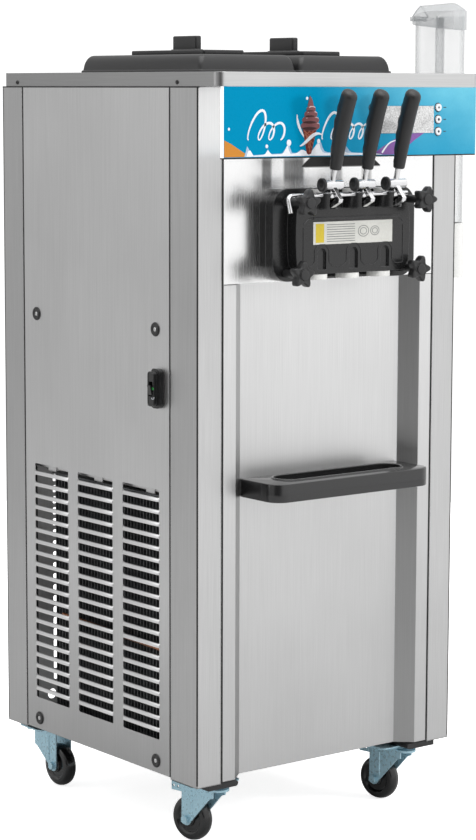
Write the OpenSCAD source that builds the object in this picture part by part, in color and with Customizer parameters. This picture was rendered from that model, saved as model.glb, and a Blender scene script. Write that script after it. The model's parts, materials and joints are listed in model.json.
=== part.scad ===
// Floor-standing soft serve machine, two flavours and a twist, on four castors.
// X runs to the machine's right seen from the front, the front faces -Y, Z is up.
// The origin is on the floor under the middle of the cabinet. All sizes are in millimetres.

/* [Cabinet] */
// Width of the cabinet
body_w = 540; // [500:1:600]
// Depth of the cabinet, without the head and the visor
body_d = 562; // [540:1:640]
// Height of the underside of the base frame above the floor
frame_bottom = 107; // [105:1:112]
// Height of the lower edge of the corner posts
post_bottom = 117; // [117:1:122]
// Height of the lower edge of the top cap
cap_bottom = 1233; // [1233:1:1260]
// Thickness of the sheet metal
sheet_t = 1.5; // [1.2:0.1:2]
// Width of a corner post on its front or rear face
post_face = 48; // [44:1:54]
// Width of a front post on the side face
front_post_side = 72; // [66:1:78]
// Width of a rear post on the side face
rear_post_side = 61; // [56:1:66]
// Open seam between a post and a panel
seam = 3.5; // [2:0.5:4]

/* [Louvres] */
// Number of louvre slots in a column
slot_rows = 21; // [16:1:22]
// Height from one slot to the next
slot_pitch = 20; // [18:1:21]
// Length of a slot
slot_l = 103; // [90:1:106]
// Height of a slot
slot_h = 13; // [8:1:14]

/* [Top cap and visor] */
// Height of the top cap's skirt
cap_h = 22.5; // [20:0.5:26]
// Overhang of the cap in front of the cabinet
cap_over = 56.5; // [50:0.5:62]
// Height of the printed fascia under the cap
fascia_h = 109; // [100:1:116]
// Width of the fascia
fascia_w = 524; // [500:1:530]

/* [Hopper lids] */
// Width of a hopper lid
lid_w = 202; // [190:1:204]
// Length of a hopper lid, front to back
lid_l = 340; // [316:1:344]
// Height of a hopper lid above the cap
lid_h = 29; // [25:1:32]

/* [Dispensing head] */
// Distance between two handles
handle_pitch = 66; // [64:1:68]
// Height of the freezing cylinders' axes
cylinder_z = 1000; // [998:1:1002]
// Outside radius of a freezing cylinder
cylinder_r = 53; // [50:1:53]
// Half width of the flange behind the head
flange_half = 148; // [146:1:152]
// Height of the pivot pin that the handles turn on
pivot_z = 1064; // [1063:1:1065]

/* [Drip tray] */
// Width of the drip tray
tray_w = 332; // [300:1:332]
// Depth of the drip tray, front to back
tray_d = 93; // [85:1:100]
// Height of the drip tray's top face
tray_z = 608; // [560:1:640]
// Thickness of the drip tray
tray_h = 30; // [26:1:36]

/* [Cone dispenser] */
// Outside radius of a cone tube
tube_r = 25; // [22:1:25]
// Height of the top of the cone tubes
tube_top = 1352; // [1340:1:1352]

/* [Castors] */
// Radius of a castor wheel
wheel_r = 37.5; // [34:0.5:38]
// Distance of a castor's swivel axis from the middle plane, to either side
castor_x = 203; // [198:1:206]
// Trail of a wheel behind its swivel axis
trail = 28; // [24:1:30]

/* [Hidden] */
$fn = 48;
eps = 0.01;
half_w = body_w / 2;
half_d = body_d / 2;
front_y = -half_d;
panel_bottom = post_bottom + 3;
fold = 12;
// Running clearance of a pin in its bore, on the radius
run = 0.05;

// Side panels lie between the posts, so their middle is a little behind the cabinet's middle
side_y0 = front_y + front_post_side + seam;
side_y1 = half_d - rear_post_side - seam;
side_mid = (side_y0 + side_y1) / 2;
side_len = side_y1 - side_y0;
slot_z0 = 176;
slot_gap = 29;
slot_corner = 1.8;
screw_y = 174;
side_screws = [[side_mid - screw_y, 139.5], [side_mid + screw_y, 139.5],
               [side_mid - screw_y, 848], [side_mid + screw_y, 848]];

// Lower front panel: a flange each side, a slope, and a recessed middle
front_half = half_w - post_face - seam;
flange_w = 25;
recess_half = 167;
recess_d = 24;
recess_y = front_y + recess_d;
head_split = 924;
panel_gap = 1;

cap_top = cap_bottom + cap_h;
cap_front = front_y - cap_over;
cap_corner = 15;
fascia_bottom = cap_bottom - fascia_h;
fascia_return = 8;
display_w = 125;
display_h = 44;
display_x = 106.5;
display_z = fascia_bottom + 57;
button_x = 178;
button_r = 6;
button_pitch = 19.5;

breaker_y = -179;
breaker_z = 754;
breaker_w = 18;
breaker_h = 56;
breaker_d = 17;
breaker_foot_d = 8;
rocker_x = -half_w - breaker_d + 5;
rocker_pin_r = 1.5;
rocker_tilt = 12;

lid_mid_x = lid_w / 2 + 1.5;
lid_mid_y = -26;
hopper_w = 168;
hopper_l = 298;
hopper_bottom = 1085;
hopper_t = 1.5;
cover_w = 85;
cover_l = 206;
cover_h = 8;
filler_w = 66;
filler_l = 180;
lid_knob_h = 24;

// Depth stations of the head, from the flange to the front face
flange_front = front_y - 16;
ears_front = front_y - 35;
face_y = front_y - 57;
head_half = 135;
face_half = 119;
head_mid_z = cylinder_z;
head_h = 147;
stud_x = 122;
stud_r = 4;
stud_hole_r = 4.5;
upper_stud_z = 1053;
lower_stud_z = 940;
upper_knob_y = face_y - 26;
lower_knob_y = face_y - 12;
knob_t = 15;
knob_r = 21.5;
knob_lobe = 3.5;

boss_r = 24;
boss_y = face_y - 3;
boss_bottom = 1042;
boss_top = 1066;
pivot_y = face_y - 18;
pivot_r = 3.5;
lever_t = 8;
lever_slot = 12;
hub_y = face_y - 24;
hub_z = pivot_z + 16;
hub_r = 7.5;
hub_l = 38;
stem_lean = 14;
knee_y = face_y - 45;
knee_z = pivot_z - 7;
grip_bottom_z = 1104;
grip_top_z = 1227;
plunger_r = 9;
plunger_y = face_y + 16;
plunger_bottom = 948;
plunger_top = 1072;
spout_bottom = 938;
spout_r = 14;
outlet_z = 965;
chamber_r = 50;
chamber_d = 6;
stub_r = 7;
shaft_r = 8;

cylinder_back = 60;
fan_z = 360;
shroud_x = -196;
fan_shaft_r = 4;
wall_t = 3;
gearbox_y = 92;

tube_x = half_w + 8 + tube_r;
front_tube_y = -227;
rear_tube_y = front_tube_y + 2 * tube_r + 1;
tube_t = 1.5;
holder_bottom = 911;
holder_top = 1004;
cone_lid_bottom = 1333;
cone_eave = 1362;
cone_ridge = 1376;
cone_hinge_y = rear_tube_y + tube_r + 8;
cone_hinge_z = tube_top - 4;

// Swivel axes from front to rear, and how the forks stand at rest
front_castor_y = -214;
rear_castor_y = 245;
front_left_turn = 12;
front_right_turn = 11;
rear_left_turn = 180;
rear_right_turn = 180;
axle_r = 4;
fork_gap = 28;
fork_t = 2.5;
crown_z = 94;
crown_t = 3.9;
king_r = 5;

// ---- helpers ---------------------------------------------------------------

// Rectangle with round corners, centred
module round_rect(w, d, r) {
  square([w - 2 * r, d], center = true);
  square([w, d - 2 * r], center = true);
  for (sx = [-1, 1], sy = [-1, 1])
    translate([sx * (w / 2 - r), sy * (d / 2 - r)])
      circle(r);
}

// Slab with round corners, standing on z0
module slab(w, d, r, z0, h) {
  translate([0, 0, z0])
    linear_extrude(h)
      round_rect(w, d, r);
}

// Box given by its lowest corner and its highest corner
module span(lo, hi) {
  translate(lo)
    cube(hi - lo);
}

// Cylinder along Y, from y0 to y1
module along_y(x, z, r, y0, y1) {
  translate([x, y0, z])
    rotate([-90, 0, 0])
      cylinder(h = y1 - y0, r = r);
}

// Cylinder along X, from x0 to x1
module along_x(y, z, r, x0, x1) {
  translate([x0, y, z])
    rotate([0, 90, 0])
      cylinder(h = x1 - x0, r = r);
}

// A 2D shape drawn in X and Z, made into a plate from y0 to y1
module plate_xz(y0, y1) {
  translate([0, y1, 0])
    rotate([90, 0, 0])
      linear_extrude(y1 - y0)
        children();
}

// A 2D shape drawn in Y and Z, made into a plate from x0 to x1
module plate_yz(x0, x1) {
  translate([x0, 0, 0])
    rotate([90, 0, 90])
      linear_extrude(x1 - x0)
        children();
}

// Outline of a slot with bevelled corners, centred
module slot_shape(l, h, c) {
  polygon([[-l / 2 + c, -h / 2], [l / 2 - c, -h / 2], [l / 2, -h / 2 + c], [l / 2, h / 2 - c],
           [l / 2 - c, h / 2], [-l / 2 + c, h / 2], [-l / 2, h / 2 - c], [-l / 2, -h / 2 + c]]);
}

// Columns of slots, centred on u and rising from z0
module slot_field(u, z0, columns, rows, l) {
  for (c = [0 : columns - 1], r = [0 : rows - 1])
    translate([u + (c - (columns - 1) / 2) * (l + slot_gap), z0 + slot_h / 2 + r * slot_pitch])
      slot_shape(l, slot_h, slot_corner);
}

// ---- frame and casing ------------------------------------------------------

// Welded base: recessed angle rails, castor feet, cross bars, and uprights that carry a shelf
module base_frame() {
  rail_x = 238;
  rail_y0 = -218;
  rail_y1 = 268;
  rail_h = post_bottom - frame_bottom;
  rail_w = 40;
  rail_t = 3;
  upright_w = 22;
  shelf_z = 740;
  foot_x = 243;
  foot_w = 60;
  color("#2e2f31") {
    difference() {
      span([-rail_x, rail_y0, frame_bottom], [rail_x, rail_y1, frame_bottom + rail_h]);
      span([-rail_x + rail_t, rail_y0 + rail_t, frame_bottom + rail_t],
           [rail_x - rail_t, rail_y1 - rail_t, frame_bottom + rail_h + 1]);
      span([-rail_x + rail_w, rail_y0 + rail_w, frame_bottom - 1],
           [rail_x - rail_w, rail_y1 - rail_w, frame_bottom + rail_h]);
    }
    for (m = [0, 1])
      mirror([m, 0, 0]) {
        // Front foot under the post, with a round inner end
        plate_xz(front_y + 5, front_y + 137) {
          translate([-foot_x, frame_bottom])
            square([foot_w - rail_h / 2, rail_h]);
          translate([-foot_x + foot_w - rail_h / 2, frame_bottom + rail_h / 2])
            circle(rail_h / 2);
        }
        // Rear pad
        span([-foot_x + 6, rear_castor_y - 30, frame_bottom], [-163, rail_y1, frame_bottom + rail_t]);
        for (y = [rail_y0, rail_y1 - rail_t])
          span([-rail_x, y, frame_bottom], [-rail_x + upright_w, y + rail_t, shelf_z]);
      }
    for (y = [-120, 40, 160])
      span([-rail_x + rail_t, y - 20, frame_bottom], [rail_x - rail_t, y + 20, frame_bottom + rail_t]);
    span([-rail_x, rail_y0, shelf_z], [rail_x, rail_y1, shelf_z + 2]);
  }
}

// Folded corner profile: two faces and a lip on each, with its outer corner at the origin
module post_profile(side) {
  square([post_face, sheet_t]);
  square([sheet_t, side]);
  translate([post_face - sheet_t, 0])
    square([sheet_t, fold]);
  translate([0, side - sheet_t])
    square([fold, sheet_t]);
}

module corner_posts() {
  color("#c3c4c6")
    for (sx = [-1, 1], sy = [-1, 1])
      translate([sx * half_w, sy * half_d, post_bottom])
        scale([-sx, -sy, 1])
          linear_extrude(cap_bottom - post_bottom)
            post_profile(sy < 0 ? front_post_side : rear_post_side);
}

// Louvred side panel on the left; fold-backs stiffen its two long edges
module side_panel() {
  plate_yz(-half_w, -half_w + sheet_t)
    difference() {
      translate([side_y0, panel_bottom])
        square([side_len, cap_bottom - panel_bottom]);
      slot_field(side_mid, slot_z0, 3, slot_rows, slot_l);
      for (s = side_screws)
        translate(s)
          circle(3);
    }
  for (y = [side_y0, side_y1 - sheet_t])
    span([-half_w, y, panel_bottom], [-half_w + fold, y + sheet_t, cap_bottom]);
}

module left_side_panel() {
  color("#b4b5b8")
    side_panel();
}

module right_side_panel() {
  color("#b4b5b8")
    mirror([1, 0, 0])
      side_panel();
}

module rear_panel() {
  slot_len = 160;
  cord_hole_r = 9;
  color("#b4b5b8") {
    plate_xz(half_d - sheet_t, half_d)
      difference() {
        translate([-front_half, panel_bottom])
          square([2 * front_half, cap_bottom - panel_bottom]);
        slot_field(0, slot_z0, 2, slot_rows, slot_len);
        slot_field(0, 780, 2, 10, slot_len);
        translate([-front_half + 40, 150])
          circle(cord_hole_r);
      }
    for (sx = [-1, 1])
      translate([sx * (front_half - sheet_t / 2), half_d - fold / 2, (panel_bottom + cap_bottom) / 2])
        cube([sheet_t, fold, cap_bottom - panel_bottom], center = true);
  }
}

// Bent sheet: flange, slope, recessed middle, slope, flange
module lower_front_panel() {
  inner = front_half - flange_w;
  bends = [[-front_half, front_y], [-inner, front_y], [-recess_half, recess_y],
           [recess_half, recess_y], [inner, front_y], [front_half, front_y]];
  back = [for (i = [len(bends) - 1 : -1 : 0]) bends[i] + [0, sheet_t]];
  color("#cfd0d2")
    translate([0, 0, panel_bottom])
      linear_extrude(head_split - panel_gap - panel_bottom) {
        polygon(concat(bends, back));
        for (sx = [-1, 1])
          translate([sx * (front_half - sheet_t / 2), front_y + fold / 2])
            square([sheet_t, fold], center = true);
      }
}

module head_panel() {
  color("#d8d9db") {
    plate_xz(front_y, front_y + sheet_t)
      difference() {
        translate([-front_half, head_split])
          square([2 * front_half, cap_bottom - head_split]);
        for (sx = [-1, 1])
          translate([sx * handle_pitch, cylinder_z])
            circle(cylinder_r + 1);
        for (sx = [-1, 1], z = [upper_stud_z, lower_stud_z])
          translate([sx * stud_x, z])
            circle(stud_hole_r);
      }
    for (sx = [-1, 1])
      translate([sx * (front_half - sheet_t / 2), front_y + fold / 2, (head_split + cap_bottom) / 2])
        cube([sheet_t, fold, cap_bottom - head_split], center = true);
    // Ledge that closes the recess of the lower panel
    span([-recess_half, front_y + sheet_t, head_split], [recess_half, recess_y + sheet_t, head_split + sheet_t]);
  }
}

// Screw with a wide rubber washer: head outside the sheet, shank in the hole
module side_screw(s) {
  translate([-half_w, s.x, s.y])
    rotate([0, 90, 0]) {
      translate([0, 0, -2])
        cylinder(h = 2, r = 11.5);
      translate([0, 0, -3])
        cylinder(h = 1, r = 4);
      cylinder(h = 8, r = 2.5);
    }
}

module panel_screws() {
  color("#1d1d1f")
    for (m = [0, 1])
      mirror([m, 0, 0]) {
        for (s = side_screws)
          side_screw(s);
        for (y = [-228, 234])
          along_x(y, cap_bottom + 6.5, 3.5, -half_w - 2, -half_w);
      }
}

// Top cap: a shallow inverted tray with the two hopper cut-outs and a visor floor at the front
module top_cap() {
  depth = half_d - cap_front;
  mid_y = (half_d + cap_front) / 2;
  color("#c4c5c7") {
    difference() {
      translate([0, mid_y, 0])
        slab(body_w, depth, cap_corner, cap_bottom, cap_h);
      translate([0, mid_y, 0])
        slab(body_w - 2 * sheet_t, depth - 2 * sheet_t, cap_corner - sheet_t, cap_bottom - 1, cap_h - sheet_t + 1);
      for (sx = [-1, 1])
        translate([sx * lid_mid_x, lid_mid_y, 0])
          slab(hopper_w - 2 * hopper_t, hopper_l - 2 * hopper_t, 20, cap_bottom, cap_h + 1);
    }
    span([-half_w + cap_corner, cap_front + 0.5, cap_bottom], [half_w - cap_corner, front_y, cap_bottom + sheet_t]);
  }
}

// Printed fascia: a front plate with narrow returns, and openings for the display and the buttons
module fascia() {
  color("#2fb4dc") {
    plate_xz(cap_front, cap_front + sheet_t)
      difference() {
        translate([-fascia_w / 2, fascia_bottom])
          square([fascia_w, fascia_h]);
        translate([display_x, display_z])
          square([display_w, display_h], center = true);
        for (i = [-1 : 1])
          translate([button_x, display_z + i * button_pitch])
            circle(button_r + 0.3);
      }
    for (sx = [-1, 1])
      translate([sx * (fascia_w / 2 - sheet_t / 2), cap_front + fascia_return / 2, cap_bottom - fascia_h / 2])
        cube([sheet_t, fascia_return, fascia_h], center = true);
    span([-fascia_w / 2, cap_front, fascia_bottom],
         [fascia_w / 2, cap_front + fascia_return, fascia_bottom + sheet_t]);
  }
}

// Display glass in the fascia, with its circuit box behind
module display_module() {
  box_d = 34;
  color("#9ea3a6") {
    translate([display_x, cap_front + sheet_t / 2, display_z])
      cube([display_w - 0.6, sheet_t + 1, display_h - 0.6], center = true);
    span([display_x - display_w / 2 - 6, cap_front + sheet_t, display_z - display_h / 2 - 5],
         [display_x + display_w / 2 - 2, cap_front + sheet_t + box_d, display_z + display_h / 2 + 5]);
  }
}

// Push button: a cap that stands out of the fascia, and a collar that keeps it in
module push_button(i) {
  z = display_z + i * button_pitch;
  color("#e9ecee") {
    along_y(button_x, z, button_r, cap_front - 2.5, cap_front + sheet_t + 1.8);
    along_y(button_x, z, button_r + 1.5, cap_front + sheet_t + 0.1, cap_front + sheet_t + 1.8);
  }
}

module plus_button() {
  push_button(1);
}

module minus_button() {
  push_button(0);
}

module stop_button() {
  push_button(-1);
}

// Mains breaker on the left panel: a foot, a raised body, and a slot for the rocker
module breaker_housing() {
  foot_w = breaker_w + 6;
  foot_h = breaker_h + 8;
  color("#151516")
    difference() {
      union() {
        plate_yz(-half_w - breaker_foot_d, -half_w)
          translate([breaker_y, breaker_z])
            round_rect(foot_w, foot_h, 8);
        plate_yz(-half_w - breaker_d, -half_w)
          translate([breaker_y, breaker_z])
            round_rect(breaker_w, breaker_h, 6);
      }
      span([-half_w - breaker_d - 1, breaker_y - 5, breaker_z - 12],
           [-half_w - breaker_d + 9, breaker_y + 5, breaker_z + 12]);
      along_y(rocker_x, breaker_z, rocker_pin_r + run, breaker_y - 7.5, breaker_y + 7.5);
    }
}

// Rocker: a hub on a small pin and a paddle, drawn in its lower position
module breaker_rocker() {
  color("#1c1c1e") {
    translate([rocker_x, 0, breaker_z])
      rotate([0, -rocker_tilt, 0])
        plate_xz(breaker_y - 4, breaker_y + 4) {
          circle(3.2);
          polygon([[-8, -8], [-6, -8], [0, -3], [0, 3], [-6, 8], [-8, 8]]);
        }
    along_y(rocker_x, breaker_z, rocker_pin_r, breaker_y - 7, breaker_y + 7);
  }
}

// ---- hoppers and lids ------------------------------------------------------

// Two mix tubs that hang from the cap, each with a feed hole to its cylinder
module hoppers() {
  feed_r = 12;
  color("#c9cacc")
    for (sx = [-1, 1])
      difference() {
        translate([sx * lid_mid_x, lid_mid_y, 0]) {
          slab(hopper_w, hopper_l, 21.5, hopper_bottom, cap_top - sheet_t - hopper_bottom);
          slab(hopper_w + 12, hopper_l + 12, 24, cap_top - 2 * sheet_t, sheet_t);
        }
        translate([sx * lid_mid_x, lid_mid_y, 0])
          slab(hopper_w - 2 * hopper_t, hopper_l - 2 * hopper_t, 20, hopper_bottom + hopper_t, cap_top);
        translate([sx * handle_pitch, 20, hopper_bottom - 1])
          cylinder(h = 4, r = feed_r);
      }
}

// Lid: base rim, domed body, and a filler opening under the small cover
module lid() {
  rim = 5;
  shoulder = 11;
  inset = 14;
  translate([lid_mid_x, lid_mid_y, 0])
    difference() {
      union() {
        slab(lid_w, lid_l, 9, cap_top, rim);
        hull() {
          slab(lid_w - 5, lid_l - 5, 8, cap_top + rim - 1, 1, $fn = 32);
          slab(lid_w - 8, lid_l - 8, 8, cap_top + lid_h - shoulder, 1, $fn = 32);
          slab(lid_w - 13, lid_l - 13, 8, cap_top + lid_h - 4, 1, $fn = 32);
          slab(lid_w - 22, lid_l - 22, 8, cap_top + lid_h - 1, 1, $fn = 32);
        }
      }
      slab(lid_w - 2 * inset, lid_l - 2 * inset, 8, cap_top - 1, lid_h - 3);
      slab(filler_w, filler_l, 8, cap_top - 1, lid_h + 2);
    }
}

module left_lid() {
  color("#232325")
    mirror([1, 0, 0])
      lid();
}

module right_lid() {
  color("#232325")
    lid();
}

// Small cover over the filler opening, with its grip and a locating lip
module lid_cover() {
  z0 = cap_top + lid_h;
  translate([lid_mid_x, lid_mid_y, 0]) {
    slab(cover_w, cover_l, 5, z0, cover_h - 2);
    slab(cover_w - 4, cover_l - 4, 4, z0 + cover_h - 2, 2);
    slab(filler_w - 2, filler_l - 2, 7, z0 - 2.5, 2.5);
    slab(13, 66, 4, z0 + cover_h, lid_knob_h - 2);
    slab(9, 62, 3, z0 + cover_h + lid_knob_h - 2, 2);
  }
}

module left_lid_cover() {
  color("#1d1d1f")
    mirror([1, 0, 0])
      lid_cover();
}

module right_lid_cover() {
  color("#1d1d1f")
    lid_cover();
}

// ---- freezing and drive ----------------------------------------------------

// Two freezing cylinders welded to one mounting plate, with feed necks and coil jackets
module freezing_cylinders() {
  plate_y = front_y + 6;
  feed_r = 12;
  color("#b9bbbd")
    difference() {
      union() {
        for (sx = [-1, 1]) {
          along_y(sx * handle_pitch, cylinder_z, cylinder_r, flange_front, cylinder_back + 4);
          along_y(sx * handle_pitch, cylinder_z, cylinder_r + 6, front_y + 40, cylinder_back - 20);
          translate([sx * handle_pitch, 20, cylinder_z])
            cylinder(h = hopper_bottom - cylinder_z, r = feed_r + 3);
        }
        span([-head_half, plate_y, cylinder_z - 66], [head_half, plate_y + 4, cylinder_z + 62]);
      }
      for (sx = [-1, 1]) {
        along_y(sx * handle_pitch, cylinder_z, cylinder_r - wall_t, flange_front - 1, cylinder_back);
        along_y(sx * handle_pitch, cylinder_z, shaft_r + run, cylinder_back - 1, cylinder_back + 5);
        translate([sx * handle_pitch, 20, cylinder_z + 30])
          cylinder(h = 60, r = feed_r);
      }
    }
}

// Scraper beater: shaft, two spiders, three bars and three scraper blades
module beater(x) {
  bar_at = 41;
  y0 = flange_front + 6;
  y1 = cylinder_back - 8;
  color("#eceeee") {
    along_y(x, cylinder_z, stub_r, flange_front - chamber_d - 8, y0 + 1);
    along_y(x, cylinder_z, shaft_r, y0, gearbox_y);
    for (y = [y0, y1 - 6])
      difference() {
        along_y(x, cylinder_z, 46, y, y + 6);
        for (a = [60 : 120 : 300])
          translate([x, 0, cylinder_z])
            rotate([0, a, 0])
              along_y(26, 0, 13, y - 1, y + 7);
      }
    for (a = [0 : 120 : 240])
      translate([x, 0, cylinder_z])
        rotate([0, a, 0]) {
          along_y(bar_at, 0, 4, y0 + 3, y1 - 3);
          span([43, y0 + 8, -1.5], [49, y1 - 8, 1.5]);
        }
  }
}

module left_beater() {
  beater(-handle_pitch);
}

module right_beater() {
  beater(handle_pitch);
}

// Gearbox with two outputs, and the motor under it on a common plate
module gear_motor() {
  motor_z = 845;
  box_half = 108;
  color("#5c6166") {
    span([-box_half, gearbox_y, cylinder_z - 52], [box_half, gearbox_y + 60, cylinder_z + 50]);
    span([-box_half, gearbox_y + 60, 780], [box_half, gearbox_y + 68, cylinder_z + 50]);
    along_y(0, motor_z, 62, gearbox_y - 80, gearbox_y + 60);
    along_y(0, motor_z, 50, gearbox_y - 96, gearbox_y - 80);
    span([-50, gearbox_y - 60, 742], [50, gearbox_y + 40, 800]);
  }
}

// Hermetic compressor pot on its foot plate
module compressor() {
  pot_r = 72;
  pot_z = 135;
  translate([110, 60, 0])
    color("#1b1b1d") {
      slab(170, 120, 12, frame_bottom + 3, 3);
      for (sx = [-1, 1], sy = [-1, 1])
        translate([sx * 66, sy * 42, frame_bottom + 5])
          cylinder(h = 16, r = 8);
      slab(150, 110, 12, frame_bottom + 20, 3);
      translate([0, 0, frame_bottom + 22])
        cylinder(h = pot_z, r = pot_r);
      translate([0, 0, frame_bottom + 22 + pot_z])
        rotate_extrude($fn = 64)
          intersection() {
            circle(pot_r);
            square(pot_r);
          }
    }
}

// Condenser core behind the left louvres: a header with vertical fins
module condenser_core() {
  fin_x0 = -244;
  fin_x1 = -212;
  fin_pitch = 9;
  core_z1 = 570;
  color("#7d8184") {
    translate([0, 0, post_bottom])
      linear_extrude(core_z1 - post_bottom) {
        translate([fin_x1, -170])
          square([3, 340 + sheet_t]);
        for (y = [-170 : fin_pitch : 170])
          translate([fin_x0, y])
            square([fin_x1 - fin_x0, sheet_t]);
      }
    for (z = [post_bottom, core_z1])
      span([fin_x0, -172, z], [shroud_x + 2, 174, z + 3]);
  }
}

// Fan shroud: plate with a round opening, three arms and the fan motor with its shaft
module fan_shroud() {
  x0 = shroud_x;
  color("#3a3c3f") {
    plate_yz(x0, x0 + 2)
      difference() {
        translate([-150, fan_z - 150])
          square([300, 300]);
        translate([0, fan_z])
          circle(118, $fn = 96);
      }
    for (a = [90, 210, 330])
      translate([0, 0, fan_z])
        rotate([a, 0, 0])
          span([x0 + 30, 30, -6], [x0 + 33, 124, 6]);
    for (a = [90, 210, 330])
      translate([0, 0, fan_z])
        rotate([a, 0, 0])
          span([x0, 121, -6], [x0 + 33, 124, 6]);
    along_x(0, fan_z, 36, x0 + 30, x0 + 90);
    along_x(0, fan_z, fan_shaft_r, x0 + 6, x0 + 31);
    span([x0, -160, post_bottom], [x0 + 2, -152, 571]);
    span([x0, 152, post_bottom], [x0 + 2, 160, 571]);
    for (z = [fan_z - 120, fan_z + 100], sy = [-1, 1])
      translate([x0 + 1, sy * 155, z])
        cube([2, 12, 16], center = true);
  }
}

// Condenser and the fan shroud that is riveted to it
module condenser() {
  condenser_core();
  fan_shroud();
}

// Five-bladed fan; each blade is a pitched plate
module fan_blades() {
  color("#2b2d30")
    translate([-184, 0, fan_z]) {
      difference() {
        along_x(0, 0, 26, -8, 12);
        along_x(0, 0, fan_shaft_r + run, -9, 13);
      }
      for (a = [0 : 72 : 288])
        rotate([a, 0, 0])
          translate([0, 62, 0])
            rotate([0, 28, 0])
              cube([2, 92, 36], center = true);
    }
}

// ---- dispensing head -------------------------------------------------------

// Stud places, mirrored left and right
module at_studs(z) {
  for (sx = [-1, 1])
    translate([sx * stud_x, z])
      children();
}

module head_flange() {
  color("#0f0f10")
    plate_xz(flange_front, front_y)
      difference() {
        translate([0, head_mid_z])
          round_rect(2 * flange_half, head_h, 30);
        for (sx = [-1, 1])
          translate([sx * handle_pitch, cylinder_z])
            circle(cylinder_r + 0.5);
        for (z = [upper_stud_z, lower_stud_z])
          at_studs(z)
            circle(stud_hole_r);
      }
}

// Outline of the front plate: sides bowed outwards, corners cut back for the stud knobs
module face_outline() {
  bow_r = 420;
  intersection() {
    translate([0, head_mid_z + 0.5])
      round_rect(2 * face_half, 125, 16);
    translate([face_half - bow_r, head_mid_z])
      circle(bow_r, $fn = 128);
    translate([bow_r - face_half, head_mid_z])
      circle(bow_r, $fn = 128);
  }
}

// Arched recess in the front face over each nozzle
module arch(x) {
  translate([x, 970])
    circle(9);
  translate([x - 9, 945])
    square([18, 25]);
}

// Black cast body: rear block as wide as the flange, front plate, three valve bosses and spouts
module head_body() {
  xs = [-handle_pitch, 0, handle_pitch];
  color("#1b1b1d")
    difference() {
      union() {
        plate_xz(ears_front, flange_front)
          difference() {
            translate([0, head_mid_z])
              round_rect(2 * flange_half, head_h, 30);
            translate([-92, spout_bottom - 20])
              square([184, 20.5]);
          }
        plate_xz(face_y, ears_front)
          difference() {
            face_outline();
            for (z = [upper_stud_z, lower_stud_z])
              at_studs(z)
                circle(13);
          }
        for (x = xs) {
          translate([x, boss_y, boss_bottom])
            cylinder(h = boss_top - boss_bottom, r = boss_r);
          translate([x, plunger_y, spout_bottom - 6])
            cylinder(h = 20, r = spout_r);
        }
        span([-84, face_y - 2, 1025], [94, face_y, 1028]);
      }
      for (x = xs) {
        translate([x, plunger_y, spout_bottom - 7])
          cylinder(h = 200, r = plunger_r + run);
        span([x - lever_slot / 2, boss_y - boss_r - 1, boss_bottom - 1],
             [x + lever_slot / 2, plunger_y, boss_top + 1]);
        plate_xz(face_y - 1, face_y + 4)
          arch(x);
      }
      along_x(pivot_y, pivot_z, pivot_r + run, -100, 100);
      for (sx = [-1, 1]) {
        along_y(sx * handle_pitch, cylinder_z, chamber_r, flange_front - chamber_d, flange_front + 1);
        along_y(sx * handle_pitch, cylinder_z, stub_r + run, flange_front - chamber_d - 8.5, flange_front);
        along_y(sx * handle_pitch, outlet_z, 7, plunger_y, flange_front);
        plate_xz(flange_front - 3, flange_front + 1)
          translate([sx * handle_pitch, cylinder_z])
            difference() {
              circle(cylinder_r + 4.2);
              circle(cylinder_r + 0.8);
            }
        for (z = [upper_stud_z, lower_stud_z])
          along_y(sx * stud_x, z, stud_hole_r, face_y, flange_front + 1);
      }
      span([-40, plunger_y, outlet_z - 7], [40, flange_front - chamber_d + 2, outlet_z + 7]);
    }
}

// Two sealing rings between the flange and the head
module head_seals() {
  color("#3a1d1a")
    for (sx = [-1, 1])
      plate_xz(flange_front - 2.8, flange_front)
        translate([sx * handle_pitch, cylinder_z])
          difference() {
            circle(cylinder_r + 4);
            circle(cylinder_r + 1);
          }
}

module head_studs() {
  color("#c8c9cb")
    for (sx = [-1, 1]) {
      along_y(sx * stud_x, upper_stud_z, stud_r, upper_knob_y - 8, front_y + 6);
      along_y(sx * stud_x, lower_stud_z, stud_r, lower_knob_y - 8, front_y + 6);
    }
}

// Star-shaped hand nut with a long neck and a blind hole for the stud
module star_knob(sx, z, knob_y) {
  lobes = 5;
  neck_r = 6.5;
  star = [for (a = [0 : 6 : 354]) (knob_r - knob_lobe + knob_lobe * cos(lobes * a)) * [sin(a), cos(a)]];
  color("#161617")
    difference() {
      union() {
        plate_xz(knob_y - knob_t, knob_y)
          translate([sx * stud_x, z])
            polygon(star);
        along_y(sx * stud_x, z, neck_r, knob_y - 1, ears_front - 0.2);
        along_y(sx * stud_x, z, 8, knob_y - knob_t - 1.5, knob_y - knob_t + 1);
      }
      along_y(sx * stud_x, z, stud_r + run, knob_y - 9, ears_front + 1);
    }
}

module upper_left_star_knob() {
  star_knob(-1, upper_stud_z, upper_knob_y);
}

module upper_right_star_knob() {
  star_knob(1, upper_stud_z, upper_knob_y);
}

module lower_left_star_knob() {
  star_knob(-1, lower_stud_z, lower_knob_y);
}

module lower_right_star_knob() {
  star_knob(1, lower_stud_z, lower_knob_y);
}

// Long pin through the three bosses, bent down at its left end so that it can be pulled out
module pivot_pin() {
  bend_x = -150;
  bend_r = 8;
  leg = 20;
  leg_lean = -16;
  color("#d9dadc") {
    translate([bend_x + bend_r, pivot_y, pivot_z])
      rotate([leg_lean, 0, 0]) {
        along_x(0, 0, pivot_r, 0, 96 - bend_x - bend_r);
        translate([0, 0, -bend_r])
          rotate([90, 0, 0])
            rotate([0, 0, 90])
              rotate_extrude(angle = 90)
                translate([bend_r, 0])
                  circle(pivot_r);
        translate([-bend_r, 0, -bend_r - leg])
          cylinder(h = leg, r = pivot_r);
      }
  }
}

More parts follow.
